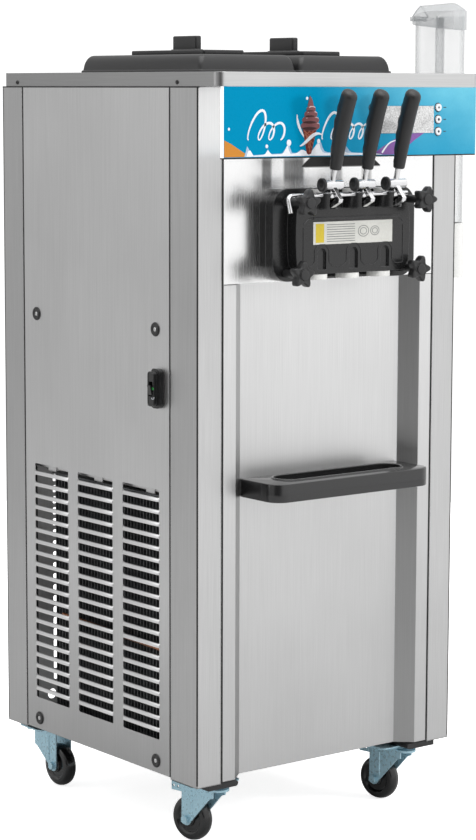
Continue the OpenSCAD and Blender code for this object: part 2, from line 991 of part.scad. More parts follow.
// Metal lever: eye on the pivot pin, tail into the plunger, kneed strap, hub block and stem
module lever(x) {
  tail_y = plunger_y + 3;
  color("#d9dadc") {
    plate_yz(x - lever_t / 2, x + lever_t / 2)
      difference() {
        union() {
          translate([pivot_y, pivot_z])
            circle(8);
          polygon([[hub_y - 5, hub_z], [hub_y + 5, hub_z], [pivot_y + 5, pivot_z + 6], [pivot_y - 5, pivot_z - 5]]);
          polygon([[hub_y - 6, hub_z - 3], [hub_y + 2, hub_z - 3], [knee_y + 8, knee_z + 1],
                   [pivot_y - 4, pivot_z - 15], [pivot_y - 8, pivot_z - 20], [knee_y, knee_z - 4],
                   [knee_y - 2, knee_z + 1]]);
          polygon([[pivot_y, pivot_z - 7], [pivot_y, pivot_z + 5], [tail_y - 3, pivot_z - 1], [tail_y - 3, pivot_z - 7]]);
          translate([tail_y - 3, pivot_z - 4])
            circle(3);
        }
        translate([pivot_y, pivot_z])
          circle(pivot_r + run);
      }
    along_x(hub_y, hub_z, hub_r, x - hub_l / 2, x + hub_l / 2);
    translate([x, hub_y, hub_z])
      rotate([stem_lean, 0, 0])
        cylinder(h = 40, r = 4.5);
  }
}

module left_lever() {
  lever(-handle_pitch);
}

module centre_lever() {
  lever(0);
}

module right_lever() {
  lever(handle_pitch);
}

// Moulded handle: leans forward, bends at the top, with a socket for the stem, and the hub's end cap
module grip(x) {
  color("#161617") {
    difference() {
      union() {
        hull() {
          translate([x, hub_y - 9, grip_bottom_z + 6])
            sphere(9.5, $fn = 24);
          translate([x, hub_y - 19, grip_bottom_z + 55])
            sphere(11.5, $fn = 24);
        }
        hull() {
          translate([x, hub_y - 19, grip_bottom_z + 55])
            sphere(11.5, $fn = 24);
          translate([x, hub_y - 37, grip_top_z - 26])
            sphere(12, $fn = 24);
        }
        hull() {
          translate([x, hub_y - 37, grip_top_z - 26])
            sphere(12, $fn = 24);
          translate([x, hub_y - 43, grip_top_z - 11])
            sphere(11, $fn = 24);
        }
      }
      translate([x, hub_y, hub_z])
        rotate([stem_lean, 0, 0])
          cylinder(h = 40.5, r = 4.55);
    }
    along_x(hub_y, hub_z, 11, x - hub_l / 2 - 4, x - hub_l / 2);
  }
}

module left_grip() {
  grip(-handle_pitch);
}

module centre_grip() {
  grip(0);
}

module right_grip() {
  grip(handle_pitch);
}

// Valve plunger: two ring grooves, and a slot near the top for the lever's tail
module plunger(x) {
  color("#e8e8e6")
    translate([x, plunger_y, 0])
      difference() {
        translate([0, 0, plunger_bottom])
          cylinder(h = plunger_top - plunger_bottom, r = plunger_r);
        for (z = [plunger_bottom + 6, plunger_bottom + 60])
          translate([0, 0, z])
            difference() {
              cylinder(h = 3, r = plunger_r + 1);
              translate([0, 0, -1])
                cylinder(h = 5, r = plunger_r - 1.5);
            }
        span([-5.5, -plunger_r - 1, pivot_z - 11], [5.5, plunger_r - 3, pivot_z + 3]);
      }
}

module left_plunger() {
  plunger(-handle_pitch);
}

module centre_plunger() {
  plunger(0);
}

module right_plunger() {
  plunger(handle_pitch);
}

// Star nozzle caps pushed onto the three spouts
module nozzles() {
  cap_r = 19;
  points = 6;
  star = [for (a = [0 : 10 : 350]) (6 + 2 * cos(points * a)) * [cos(a), sin(a)]];
  color("#f0f0ee")
    for (x = [-handle_pitch, 0, handle_pitch])
      translate([x, plunger_y, 0])
        difference() {
          translate([0, 0, spout_bottom - 9])
            cylinder(h = 8.5, r = cap_r);
          translate([0, 0, spout_bottom - 6])
            cylinder(h = 8, r = spout_r + 0.2);
          translate([0, 0, spout_bottom - 10])
            linear_extrude(5)
              polygon(star);
        }
}

// ---- outside fittings ------------------------------------------------------

// Drip tray: moulded shelf with a long well, raised rim and hooks on the recessed panel
module drip_tray() {
  front_r = 26;
  well_l = 264;
  well_w = 58;
  rim = 4;
  mid_y = recess_y - tray_d / 2;
  color("#141415")
    difference() {
      union() {
        translate([0, 0, tray_z - tray_h])
          linear_extrude(tray_h) {
            translate([-tray_w / 2, mid_y])
              square([tray_w, tray_d / 2]);
            translate([0, mid_y])
              round_rect(tray_w, tray_d, front_r);
          }
        translate([0, mid_y, 0])
          slab(well_l, well_w, well_w / 2 - eps, tray_z - 1, 4);
      }
      translate([0, mid_y, 0])
        slab(well_l - 2 * rim, well_w - 2 * rim, well_w / 2 - rim - eps, tray_z - 22, 30);
    }
}

// Holder for the cone tubes: two cups on a wall plate, and two clips higher up
module cone_holder() {
  cup_r = tube_r + 2.5;
  clip_z = 1180;
  color("#ecedea")
    difference() {
      union() {
        for (y = [front_tube_y, rear_tube_y]) {
          translate([tube_x, y, holder_bottom])
            cylinder(h = holder_top - holder_bottom, r = cup_r);
          translate([tube_x, y, clip_z])
            cylinder(h = 16, r = cup_r);
        }
        span([half_w, front_tube_y - 22, holder_bottom], [half_w + 8, rear_tube_y + 22, holder_top]);
        span([half_w, front_tube_y - 22, clip_z], [half_w + 8, rear_tube_y + 22, clip_z + 16]);
        span([half_w, front_tube_y + 10, holder_top - 1], [half_w + 3, rear_tube_y - 10, clip_z + 1]);
      }
      for (y = [front_tube_y, rear_tube_y])
        translate([tube_x, y, holder_bottom + 3])
          cylinder(h = 400, r = tube_r + 0.2);
    }
}

// Two clear cone tubes joined side by side, with a hinge ear at the rear
module cone_tubes() {
  color("#dfe6e8", 0.5)
    difference() {
      union() {
        for (y = [front_tube_y, rear_tube_y])
          translate([tube_x, y, holder_bottom + 3.2])
            cylinder(h = tube_top - holder_bottom - 3.2, r = tube_r);
        span([tube_x - 9, rear_tube_y + tube_r - 2, cone_hinge_z - 4], [tube_x + 9, cone_hinge_y, cone_hinge_z + 4]);
        along_x(cone_hinge_y, cone_hinge_z, 4, tube_x - 9, tube_x + 9);
      }
      for (y = [front_tube_y, rear_tube_y])
        translate([tube_x, y, holder_bottom])
          cylinder(h = 500, r = tube_r - tube_t);
      along_x(cone_hinge_y, cone_hinge_z, 2 + run, tube_x - 10, tube_x + 10);
    }
}

// Outline of the cone lid, open at the hinge end
module cone_lid_outline(r) {
  translate([tube_x, front_tube_y])
    circle(r);
  translate([tube_x - r, front_tube_y])
    square([2 * r, rear_tube_y + tube_r - front_tube_y]);
}

// Cone lid: skirt, ridged roof, two hinge arms and the hinge pin
module cone_lid() {
  skirt_r = tube_r + 2.8;
  inner_r = tube_r + 1.3;
  length = rear_tube_y + tube_r - front_tube_y;
  color("#e6eaeb") {
    difference() {
      translate([0, 0, cone_lid_bottom])
        linear_extrude(cone_eave - cone_lid_bottom)
          cone_lid_outline(skirt_r);
      translate([0, 0, cone_lid_bottom - 1])
        linear_extrude(tube_top + 1.5 - cone_lid_bottom + 1)
          intersection() {
            union() {
              cone_lid_outline(inner_r);
              translate([tube_x - inner_r, rear_tube_y])
                square([2 * inner_r, tube_r + 1]);
            }
            translate([tube_x - 50, front_tube_y - 50])
              square([100, 250]);
          }
    }
    hull() {
      translate([0, 0, cone_eave - 1])
        linear_extrude(1)
          cone_lid_outline(skirt_r, $fn = 32);
      translate([tube_x - 3, front_tube_y - 4, cone_eave])
        cube([6, length, cone_ridge - cone_eave]);
    }
    for (sx = [-1, 1]) {
      translate([tube_x + sx * 14, 0, 0])
        span([-4, rear_tube_y + tube_r - 1, tube_top + 1.6], [4, cone_hinge_y + 2, cone_eave - 2]);
      translate([tube_x + sx * 14, 0, 0])
        span([-4, cone_hinge_y - 4, cone_hinge_z - 4], [4, cone_hinge_y + 4, cone_eave - 2]);
    }
    along_x(cone_hinge_y, cone_hinge_z, 2, tube_x - 11, tube_x + 11);
  }
}

// ---- castors ---------------------------------------------------------------

// Children placed at a castor's swivel axis and turned about it
module at_castor(sx, sy, turn = 0) {
  translate([sx * castor_x, sy < 0 ? front_castor_y : rear_castor_y, 0])
    rotate(turn)
      children();
}

// Top plate with four bolts, upper race and kingpin
module castor_plates() {
  plate_w = 96;
  plate_d = 66;
  bolt_x = 38;
  bolt_y = 12;
  color("#a8c6d2")
    for (sx = [-1, 1], sy = [-1, 1])
      at_castor(sx, sy) {
        slab(plate_w, plate_d, 8, frame_bottom - 2.5, 2.5);
        for (bx = [-1, 1], by = [-1, 1])
          translate([bx * bolt_x, by * bolt_y, frame_bottom - 7])
            cylinder(h = 5, r = 5.5, $fn = 6);
        translate([0, 0, crown_z + crown_t + 0.1])
          cylinder(h = frame_bottom - 2.5 - crown_z - crown_t - 0.1, r = 24);
        translate([0, 0, crown_z - 6])
          cylinder(h = 14, r = king_r);
        translate([0, 0, crown_z - 8])
          cylinder(h = 7.9, r = 9);
      }
}

// Side view of a fork leg: upright on the axle's side; the other side drops from the crown, then slants
module leg_outline(drop) {
  boss_half = 10;
  polygon([[-30, crown_z + crown_t], [trail + boss_half, crown_z + crown_t], [trail + boss_half, wheel_r],
           [trail - 8, wheel_r - 5], [-22, crown_z - drop - 3], [-30, crown_z - drop]]);
  translate([trail, wheel_r])
    circle(boss_half);
}

// Swivel fork: round-fronted crown with a kingpin hole, two legs, and the axle bolt with its nut.
// The front forks have a drilled wing behind each leg; the rear forks have deeper legs.
module castor_fork(wing = false) {
  outer = fork_gap / 2 + fork_t;
  wing_l = 24;
  wing_h = 15;
  crown_back = trail + 10;
  color("#a8c6d2") {
    difference() {
      union() {
        for (sx = [-1, 1]) {
          translate([sx * (fork_gap / 2 + fork_t / 2), 0, 0])
            plate_yz(-fork_t / 2, fork_t / 2) {
              leg_outline(wing ? 11 : 28);
              if (wing)
                difference() {
                  translate([trail + 8, crown_z + crown_t - wing_h])
                    square([wing_l, wing_h]);
                  for (hole = [0.42, 0.82])
                    translate([trail + 8 + hole * wing_l, crown_z + crown_t - wing_h / 2])
                      circle(2.4);
                }
            }
          // Pressed rib down the leg
          translate([sx * outer, trail - 12, wheel_r + 8])
            cylinder(h = crown_z - wheel_r - 14, r = 1.6);
        }
        translate([0, 0, crown_z])
          linear_extrude(crown_t) {
            translate([-outer, -30])
              square([2 * outer, crown_back + 30]);
            translate([0, -30])
              circle(outer);
          }
      }
      translate([0, 0, crown_z - 1])
        cylinder(h = 10, r = king_r + run);
      along_x(trail, wheel_r, axle_r + run, -30, 30);
    }
    along_x(trail, wheel_r, axle_r, -outer - 1, outer + 1);
    for (sx = [-1, 1])
      translate([sx * (outer + 3.1), trail, wheel_r])
        rotate([0, 90, 0])
          cylinder(h = 5.8, r = 7, center = true, $fn = 6);
  }
}

module front_left_fork() {
  at_castor(-1, -1, front_left_turn)
    castor_fork(wing = true);
}

module front_right_fork() {
  at_castor(1, -1, front_right_turn)
    castor_fork(wing = true);
}

module rear_left_fork() {
  at_castor(-1, 1, rear_left_turn)
    castor_fork();
}

module rear_right_fork() {
  at_castor(1, 1, rear_right_turn)
    castor_fork();
}

// Moulded wheel with a crowned tread, running on the axle bolt
module castor_wheel() {
  tread_r = 12;
  hub_half = 12.5;
  color("#161617")
    translate([0, trail, wheel_r])
      rotate([0, 90, 0])
        rotate_extrude($fn = 72)
          difference() {
            union() {
              translate([wheel_r - tread_r, 0])
                circle(tread_r);
              translate([axle_r + run, -9])
                square([wheel_r - tread_r - axle_r, 18]);
              translate([axle_r + run, -hub_half])
                square([9, 2 * hub_half]);
            }
            translate([-50, -50])
              square([50 + axle_r + run, 100]);
          }
}

module front_left_wheel() {
  at_castor(-1, -1, front_left_turn)
    castor_wheel();
}

module front_right_wheel() {
  at_castor(1, -1, front_right_turn)
    castor_wheel();
}

module rear_left_wheel() {
  at_castor(-1, 1, rear_left_turn)
    castor_wheel();
}

module rear_right_wheel() {
  at_castor(1, 1, rear_right_turn)
    castor_wheel();
}

base_frame();
corner_posts();
left_side_panel();
right_side_panel();
rear_panel();
lower_front_panel();
head_panel();
panel_screws();
top_cap();
fascia();
display_module();
plus_button();
minus_button();
stop_button();
breaker_housing();
breaker_rocker();
hoppers();
left_lid();
right_lid();
left_lid_cover();
right_lid_cover();
freezing_cylinders();
left_beater();
right_beater();
gear_motor();
compressor();
condenser();
fan_blades();
head_flange();
head_body();
head_seals();
head_studs();
upper_left_star_knob();
upper_right_star_knob();
lower_left_star_knob();
lower_right_star_knob();
pivot_pin();
left_lever();
centre_lever();
right_lever();
left_grip();
centre_grip();
right_grip();
left_plunger();
centre_plunger();
right_plunger();
nozzles();
drip_tray();
cone_holder();
cone_tubes();
cone_lid();
castor_plates();
front_left_fork();
front_right_fork();
rear_left_fork();
rear_right_fork();
front_left_wheel();
front_right_wheel();
rear_left_wheel();
rear_right_wheel();
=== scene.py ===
"""Looks of the soft serve machine: finishes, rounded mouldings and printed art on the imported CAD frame."""

import json
import math

import bpy
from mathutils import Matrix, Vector


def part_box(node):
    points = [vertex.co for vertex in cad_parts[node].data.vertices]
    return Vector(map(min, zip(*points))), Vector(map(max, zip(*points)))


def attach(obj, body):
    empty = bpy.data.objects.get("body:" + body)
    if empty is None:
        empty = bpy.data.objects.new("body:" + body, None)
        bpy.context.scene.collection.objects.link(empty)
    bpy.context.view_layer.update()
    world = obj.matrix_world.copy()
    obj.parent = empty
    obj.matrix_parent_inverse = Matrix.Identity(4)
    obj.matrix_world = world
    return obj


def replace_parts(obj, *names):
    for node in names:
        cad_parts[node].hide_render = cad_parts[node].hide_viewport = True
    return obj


MM = 0.001
SIDES = ("left", "centre", "right")
CORNERS = [f"{row}_{side}" for row in ("front", "rear") for side in ("left", "right")]

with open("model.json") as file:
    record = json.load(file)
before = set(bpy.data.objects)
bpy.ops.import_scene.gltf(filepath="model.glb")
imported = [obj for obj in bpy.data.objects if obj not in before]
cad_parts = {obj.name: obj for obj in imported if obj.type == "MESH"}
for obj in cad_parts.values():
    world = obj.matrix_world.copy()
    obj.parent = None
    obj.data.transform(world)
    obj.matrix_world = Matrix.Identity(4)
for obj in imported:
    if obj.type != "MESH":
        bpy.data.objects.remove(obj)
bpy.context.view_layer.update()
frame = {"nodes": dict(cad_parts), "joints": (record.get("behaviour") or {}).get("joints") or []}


# ---- places in the frame, in millimetres ----

def node_box(node):
    """Lowest and highest corner of a CAD node in millimetres."""
    lo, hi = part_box(node)
    return Vector(lo) / MM, Vector(hi) / MM


def joint_named(name):
    return next(j for j in frame["joints"] if j["name"] == name)


def joint_place(name):
    """Position of a joint in millimetres."""
    return Vector(joint_named(name)["pos_m"]) / MM


CAP_LO, _ = node_box("top_cap")
FASCIA_LO, FASCIA_HI = node_box("fascia")
POSTS_LO, POSTS_HI = node_box("corner_posts")
PANEL_LO, PANEL_HI = node_box("left_side_panel")
PANEL_MID = (PANEL_LO + PANEL_HI) / 2
_, FACE_HI = node_box("lower_front_panel")
HEAD_LO, HEAD_HI = node_box("head_body")
HEAD_MID = (HEAD_LO + HEAD_HI) / 2
HEAD_FACE_Y = HEAD_HI.y - 41     # flat face of the head, behind its valve bosses
ART_Y = FASCIA_LO.y


# ---- shader helpers ----

WHITE = (1, 1, 1, 1)


def link(tree, source, target):
    tree.links.new(source, target)


def set_inputs(node, **values):
    """Sets inputs of a node; an underscore stands for a space in an input's name."""
    for name, value in values.items():
        node.inputs[name.replace("_", " ")].default_value = value
    return node


def add_node(tree, kind, **values):
    return set_inputs(tree.nodes.new("ShaderNode" + kind), **values)


def plug(tree, value, slot):
    """Feeds an input with the output of a node or with a plain value."""
    if isinstance(value, bpy.types.NodeSocket):
        link(tree, value, slot)
    else:
        slot.default_value = value


def coordinate(tree, kind="Object"):
    return add_node(tree, "TexCoord").outputs[kind]


def axes(tree, kind="Object"):
    """X, Y and Z of a place (Object) or of the way that a face looks (Normal)."""
    split = add_node(tree, "SeparateXYZ")
    link(tree, coordinate(tree, kind), split.inputs[0])
    return split.outputs


def scaled_noise(tree, scale, detail=3.0):
    """Noise in object space, stretched by a scale for each axis (cells per metre)."""
    mapping = add_node(tree, "Mapping", Scale=scale)
    noise = add_node(tree, "TexNoise", Scale=1.0, Detail=detail)
    link(tree, coordinate(tree), mapping.inputs["Vector"])
    link(tree, mapping.outputs["Vector"], noise.inputs["Vector"])
    return noise.outputs["Fac"]


def spread(tree, value, low, high, from_low=0.3, from_high=0.7):
    """Maps from_low..from_high onto low..high, by default the usual values of a noise."""
    node = add_node(tree, "MapRange", From_Min=from_low, From_Max=from_high, To_Min=low, To_Max=high)
    link(tree, value, node.inputs["Value"])
    return node.outputs["Result"]


def around(tree, noise, middle, change):
    """A noise as a value that changes round a middle."""
    return spread(tree, noise, middle - change, middle + change)


def maths(tree, operation, a, b):
    node = add_node(tree, "Math")
    node.operation = operation
    plug(tree, a, node.inputs[0])
    plug(tree, b, node.inputs[1])
    return node.outputs[0]


def dot_product(tree, a, b):
    node = add_node(tree, "VectorMath")
    node.operation = "DOT_PRODUCT"
    plug(tree, a, node.inputs[0])
    plug(tree, b, node.inputs[1])
    return node.outputs["Value"]


def times(tree, first, *others):
    """Product of all the values."""
    for other in others:
        first = maths(tree, "MULTIPLY", first, other)
    return first


def magnitude(tree, value):
    """Value without its sign."""
    return maths(tree, "ABSOLUTE", value, 0)


def mix_colour(tree, factor, a, b, blend="MIX"):
    node = add_node(tree, "Mix")
    node.data_type = "RGBA"
    node.blend_type = blend
    factor_slot, a_slot, b_slot, colour_output = 0, 6, 7, 2
    for slot, value in ((factor_slot, factor), (a_slot, a), (b_slot, b)):
        plug(tree, value, node.inputs[slot])
    return node.outputs[colour_output]


def grey(tree, value):
    """A value as a grey colour."""
    node = add_node(tree, "CombineColor")
    for slot in node.inputs[:3]:
        link(tree, value, slot)
    return node.outputs[0]


def srgb(r, g, b, alpha=1.0):
    """Colour picked as 0..255 screen values, as linear light."""
    def linear(c):
        c /= 255
        return c / 12.92 if c <= 0.04045 else ((c + 0.055) / 1.055) ** 2.4
    return (linear(r), linear(g), linear(b), alpha)


def new_material(name):
    """A material with its node tree and its shader."""
    material = bpy.data.materials.new(name)
    material.use_nodes = True
    tree = material.node_tree
    return material, tree, tree.nodes["Principled BSDF"]


# ---- finishes ----

def finish(name, colour, metallic=0.0, roughness=0.4, grain=(400, 400, 400), contrast=0.06,
           rough_change=0.06, bump=0.1, wear=0.3, wear_colour=(0.6, 0.6, 0.6, 1), edge=1.0,
           cloud=0.04, coat=0.0, specular=0.5, paint=None):
    """A surface with grain, cloudy tone, roughness changes, fine bumps, and edges that are round and tinted:
    rubbed lighter on most finishes, and painted dark on the posts' steel as the dark reflection of a fold.
    Edge is the edge's radius in millimetres. Paint, a function of the node tree, takes the colour's place."""
    material, tree, bsdf = new_material(name)
    fine = scaled_noise(tree, grain)
    broad = scaled_noise(tree, (5, 5, 5), 2.0)
    tone = times(tree, around(tree, fine, 1, contrast), around(tree, broad, 1, cloud))
    base = mix_colour(tree, 1.0, paint(tree) if paint else colour, grey(tree, tone), "MULTIPLY")

    bevel = add_node(tree, "Bevel", Radius=edge * MM)
    bevel.samples = 4
    flatness = dot_product(tree, bevel.outputs["Normal"], add_node(tree, "NewGeometry").outputs["Normal"])
    # Edge tint: rubbed lighter on most finishes; on the posts' steel, a painted dark line that stands for a
    # fold's dark reflection
    worn_and_fold_shaded = spread(tree, flatness, wear, 0.0, 0.80, 0.97)
    link(tree, mix_colour(tree, worn_and_fold_shaded, base, wear_colour), bsdf.inputs["Base Color"])

    relief = add_node(tree, "Bump", Strength=bump, Distance=0.2 * MM)
    link(tree, fine, relief.inputs["Height"])
    link(tree, bevel.outputs["Normal"], relief.inputs["Normal"])
    link(tree, relief.outputs["Normal"], bsdf.inputs["Normal"])
    link(tree, around(tree, fine, roughness, rough_change), bsdf.inputs["Roughness"])
    set_inputs(bsdf, Metallic=metallic, Coat_Weight=coat, Coat_Roughness=0.08, Specular_IOR_Level=specular)
    return material


UPRIGHT_GRAIN = (950, 950, 8)
BRIGHT_STEEL = (0.95, 0.95, 0.96, 1)
# Painted dark reflection of a sharp fold, used on the posts' steel
PAINTED_FOLD_DARK = (0.03, 0.03, 0.03, 1)


def brushed(name, side, front, roughness, contrast=0.07, grain=UPRIGHT_GRAIN, edge=1.6, foot=1.0, head=1.0,
            painted_fold_shade=0.0):
    """Stainless steel with a straight grain, whose reflections are painted into its colour: one painted tone
    for faces that look sideways, one for the others.
    The painted tone falls to foot near the floor and rises to head near the top. A painted dark line on the
    edges stands for the dark reflection of a sharp fold."""
    def painted_tones(tree):
        tone = spread(tree, magnitude(tree, axes(tree, "Normal")["X"]), front, side, 0.45, 0.70)
        height = axes(tree)["Z"]
        low, middle, high = 0.10, 0.42, 0.95     # metres above the floor
        below = spread(tree, height, foot, 1.0, low, middle)
        above = spread(tree, height, 1.0, head, middle, high)
        return grey(tree, times(tree, tone, below, above))
    # The posts' steel gets a painted dark line on its folds for their dark reflection; other steel edges are
    # tinted lighter
    return finish(name, None, 1.0, roughness, grain, contrast, rough_change=0.025, bump=0.06,
                  wear=painted_fold_shade or 0.3, wear_colour=PAINTED_FOLD_DARK if painted_fold_shade else BRIGHT_STEEL,
                  edge=edge, cloud=0.03, paint=painted_tones)


def soft_band(tree, value, low, high, blur):
    """1 between low and high, fading to 0 outside; all in millimetres."""
    rise = spread(tree, value, 0.0, 1.0, (low - blur) * MM, (low + blur) * MM)
    fall = spread(tree, value, 1.0, 0.0, (high - blur) * MM, (high + blur) * MM)
    return times(tree, rise, fall)


def polished_panel():
    """Head panel: nearly a mirror, with painted reflections: dark upright bars and a dark flared patch at its
    top.
    """
    top = FASCIA_LO.z
    # Painted dark reflections: left and right edge, length down from the top, and darkness of each bar
    painted_bars = ((-143, -124, 52, 0.70), (-99, -58, 44, 0.72), (-2, 22, 64, 0.5), (64, 84, 60, 0.5))
    flare_x, flare_half, flare_widening, flare_drop = 20, 66, 17, 19

    def reflections(tree):
        place = axes(tree)
        across, up = place["X"], place["Z"]
        # The painted dark flare gets wider towards its lower edge
        widening = spread(tree, up, 0.0, flare_widening * MM, (top - 4) * MM, (top - 17) * MM)
        half = maths(tree, "ADD", flare_half * MM, widening)
        reach = magnitude(tree, maths(tree, "SUBTRACT", across, flare_x * MM))
        inside = spread(tree, maths(tree, "SUBTRACT", half, reach), 0.0, 1.0, -1 * MM, 1 * MM)
        dark = times(tree, inside, soft_band(tree, up, top - flare_drop, top + 20, 1.2), 0.96)
        for x0, x1, length, strength in painted_bars:
            upright = soft_band(tree, across, x0, x1, 2.5)
            bar = times(tree, upright, soft_band(tree, up, top - length, top, 9), strength)
            dark = maths(tree, "MAXIMUM", dark, bar)
        return grey(tree, maths(tree, "SUBTRACT", 1.0, dark))
    return finish("polished_steel", None, 1.0, 0.25, UPRIGHT_GRAIN, 0.03, rough_change=0.03, bump=0.05,
                  wear=0.4, wear_colour=BRIGHT_STEEL, edge=1.0, cloud=0.05, paint=reflections)


def fascia_faces(tree):
    """How much a face of the fascia is its back, and how much it is one of its ends."""
    way = axes(tree, "Normal")
    return [spread(tree, part, 0.0, 1.0, 0.4, 0.6) for part in (way["Y"], magnitude(tree, way["X"]))]


def fascia_print():
    """Blue print that gets lighter to the upper right, on a white plate. Its ends are painted near white as a
    highlight, and its back and ends glow as painted light.
    """
    blue, pale_blue = srgb(0, 141, 184), srgb(118, 202, 224)
    # The ends' near white is a painted highlight
    lining, painted_end_highlight = (0.5, 0.5, 0.5, 1), (0.86, 0.87, 0.88, 1)
    fade_start = FASCIA_LO.x + 0.35 * (FASCIA_HI.x - FASCIA_LO.x)

    def print_colours(tree):
        place = axes(tree)
        along = spread(tree, place["X"], 0.0, 1.0, fade_start * MM, FASCIA_HI.x * MM)
        up = spread(tree, place["Z"], 0.25, 1.0, FASCIA_LO.z * MM, FASCIA_HI.z * MM)
        cloudy = spread(tree, scaled_noise(tree, (9, 9, 14)), 0.6, 1.25)
        printed_blue = mix_colour(tree, times(tree, along, up, cloudy), blue, pale_blue)
        behind, ends = fascia_faces(tree)
        return mix_colour(tree, ends, mix_colour(tree, behind, printed_blue, lining), painted_end_highlight)
    material = finish("fascia_print", None, 0.0, 0.3, (300, 300, 300), 0.02, rough_change=0.04, bump=0.03,
                      wear=0.2, wear_colour=srgb(200, 225, 235), edge=0.8, cloud=0.03, specular=0.03,
                      paint=print_colours)
    # Painted light: the back of the plate and its ends glow, so that the post beside it mirrors a lit plate
    tree = material.node_tree
    bsdf = tree.nodes["Principled BSDF"]
    behind, ends = fascia_faces(tree)
    glow = maths(tree, "MAXIMUM", times(tree, behind, 1.1), times(tree, ends, 0.72))
    set_inputs(bsdf, Emission_Color=WHITE)
    link(tree, glow, bsdf.inputs["Emission Strength"])
    return material


def display_glass():
    """Silvery display window: a speckled lower part and a soft glare."""
    def speckles(tree):
        fleck = scaled_noise(tree, (520, 520, 520), 2.0)
        glare = scaled_noise(tree, (14, 1, 30), 1.0)
        return grey(tree, times(tree, spread(tree, fleck, 0.34, 0.66), spread(tree, glare, 0.75, 1.45)))
    return finish("display_glass", None, 0.35, 0.22, (520, 520, 520), 0.08, rough_change=0.05, bump=0.05,
                  wear=0.1, edge=0.5, coat=0.6, paint=speckles)


def see_through(name, colour, thin, thick, roughness=0.12):
    """Clear plastic: nearly invisible face on, denser at the edges."""
    material, tree, bsdf = new_material(name)
    facing = add_node(tree, "LayerWeight", Blend=0.35)
    density = spread(tree, facing.outputs["Facing"], thin, thick, 0.15, 0.95)
    haze = spread(tree, scaled_noise(tree, (30, 30, 4)), 0.92, 1.08)
    link(tree, times(tree, density, haze), bsdf.inputs["Alpha"])
    set_inputs(bsdf, Base_Color=colour)
    smears = spread(tree, scaled_noise(tree, (60, 60, 60)), roughness, roughness + 0.08)
    link(tree, smears, bsdf.inputs["Roughness"])
    return material


def black_plastic(name, shade, roughness, coat=0.0, grain=(700, 700, 700), edge=1.2, wear=0.25):
    return finish(name, (shade, shade, shade * 1.03, 1), 0.0, roughness, grain, 0.12, rough_change=0.05,
                  wear=wear, wear_colour=(0.16, 0.16, 0.165, 1), edge=edge, coat=coat)


def plain(name, colour, roughness=0.4, **more):
    return finish(name, colour, 0.0, roughness, contrast=0.05, edge=0.6, **more)


# Painted reflections: each steel's tone for sideways faces and for the others, and its change near the floor
# and near the top, stand for how it mirrors the studio
STEEL_SIDE = brushed("side_steel", 0.62, 0.62, 0.36, 0.05, foot=0.66)
STEEL_POST = brushed("post_steel", 0.50, 0.62, 0.34, 0.06, edge=3.2, foot=0.92, painted_fold_shade=1.0)
STEEL_FRONT = brushed("front_steel", 0.38, 0.63, 0.36, 0.045, foot=0.90, head=1.26)
STEEL_CAP = brushed("cap_steel", 0.36, 0.66, 0.34, 0.05, grain=(8, 8, 900), edge=2.0)
# The louvre lips' steel is a lighter copy of the side steel: a painted highlight where the lips catch the
# light
STEEL_LIP_PAINTED_LIT = brushed("louvre_steel_painted_lit", 0.80, 0.80, 0.30, 0.04, grain=(8, 900, 900))
STEEL_TUB = brushed("tub_steel", 0.62, 0.62, 0.30)
STEEL_HEAD = polished_panel()
CHROME = finish("chrome", (0.86, 0.86, 0.87, 1), 1.0, 0.10, (250, 250, 250), 0.03, rough_change=0.03,
                bump=0.02, wear_colour=WHITE, cloud=0.03)
STUD = finish("stud_steel", (0.6, 0.6, 0.6, 1), 1.0, 0.25, (40, 900, 40), 0.2, rough_change=0.05, bump=0.3)
FRAME_PAINT = finish("frame_paint", (0.018, 0.018, 0.019, 1), 0.0, 0.35, (180, 180, 180), 0.12,
                     rough_change=0.08, bump=0.12, wear_colour=(0.2, 0.2, 0.2, 1))
MOTOR_PAINT = finish("motor_paint", (0.10, 0.11, 0.12, 1), 0.2, 0.4, (150, 150, 150), 0.2,
                     rough_change=0.1, bump=0.4)
COMPRESSOR_PAINT = finish("compressor_paint", (0.012, 0.012, 0.013, 1), 0.0, 0.3, (180, 180, 180), 0.2,
                          rough_change=0.08, bump=0.15)
FINS = finish("fin_aluminium", (0.16, 0.165, 0.17, 1), 0.8, 0.45, (90, 700, 60), 0.3,
              rough_change=0.1, bump=0.2)
COPPER = finish("copper_pipe", (0.55, 0.25, 0.14, 1), 1.0, 0.3, (200, 200, 200), 0.12,
                rough_change=0.08, bump=0.05)
HEAD_PLASTIC = black_plastic("head_plastic", 0.014, 0.24, 0.12, edge=2.0, wear=0.5)
BODY_GLOSS = black_plastic("flange_gloss", 0.010, 0.12, 0.5, edge=2.5)
GRIP_PLASTIC = black_plastic("grip_plastic", 0.020, 0.36, grain=(500, 500, 500))
KNOB_PLASTIC = black_plastic("knob_plastic", 0.022, 0.38)
LID_PLASTIC = black_plastic("lid_plastic", 0.022, 0.34, grain=(900, 900, 900))
TRAY_GLOSS = black_plastic("tray_gloss", 0.013, 0.14, 0.5, edge=1.6, wear=0.4)
BREAKER_BLACK = black_plastic("breaker_black", 0.010, 0.2, 0.3)
SCREW_BLACK = black_plastic("washer_black", 0.012, 0.3)
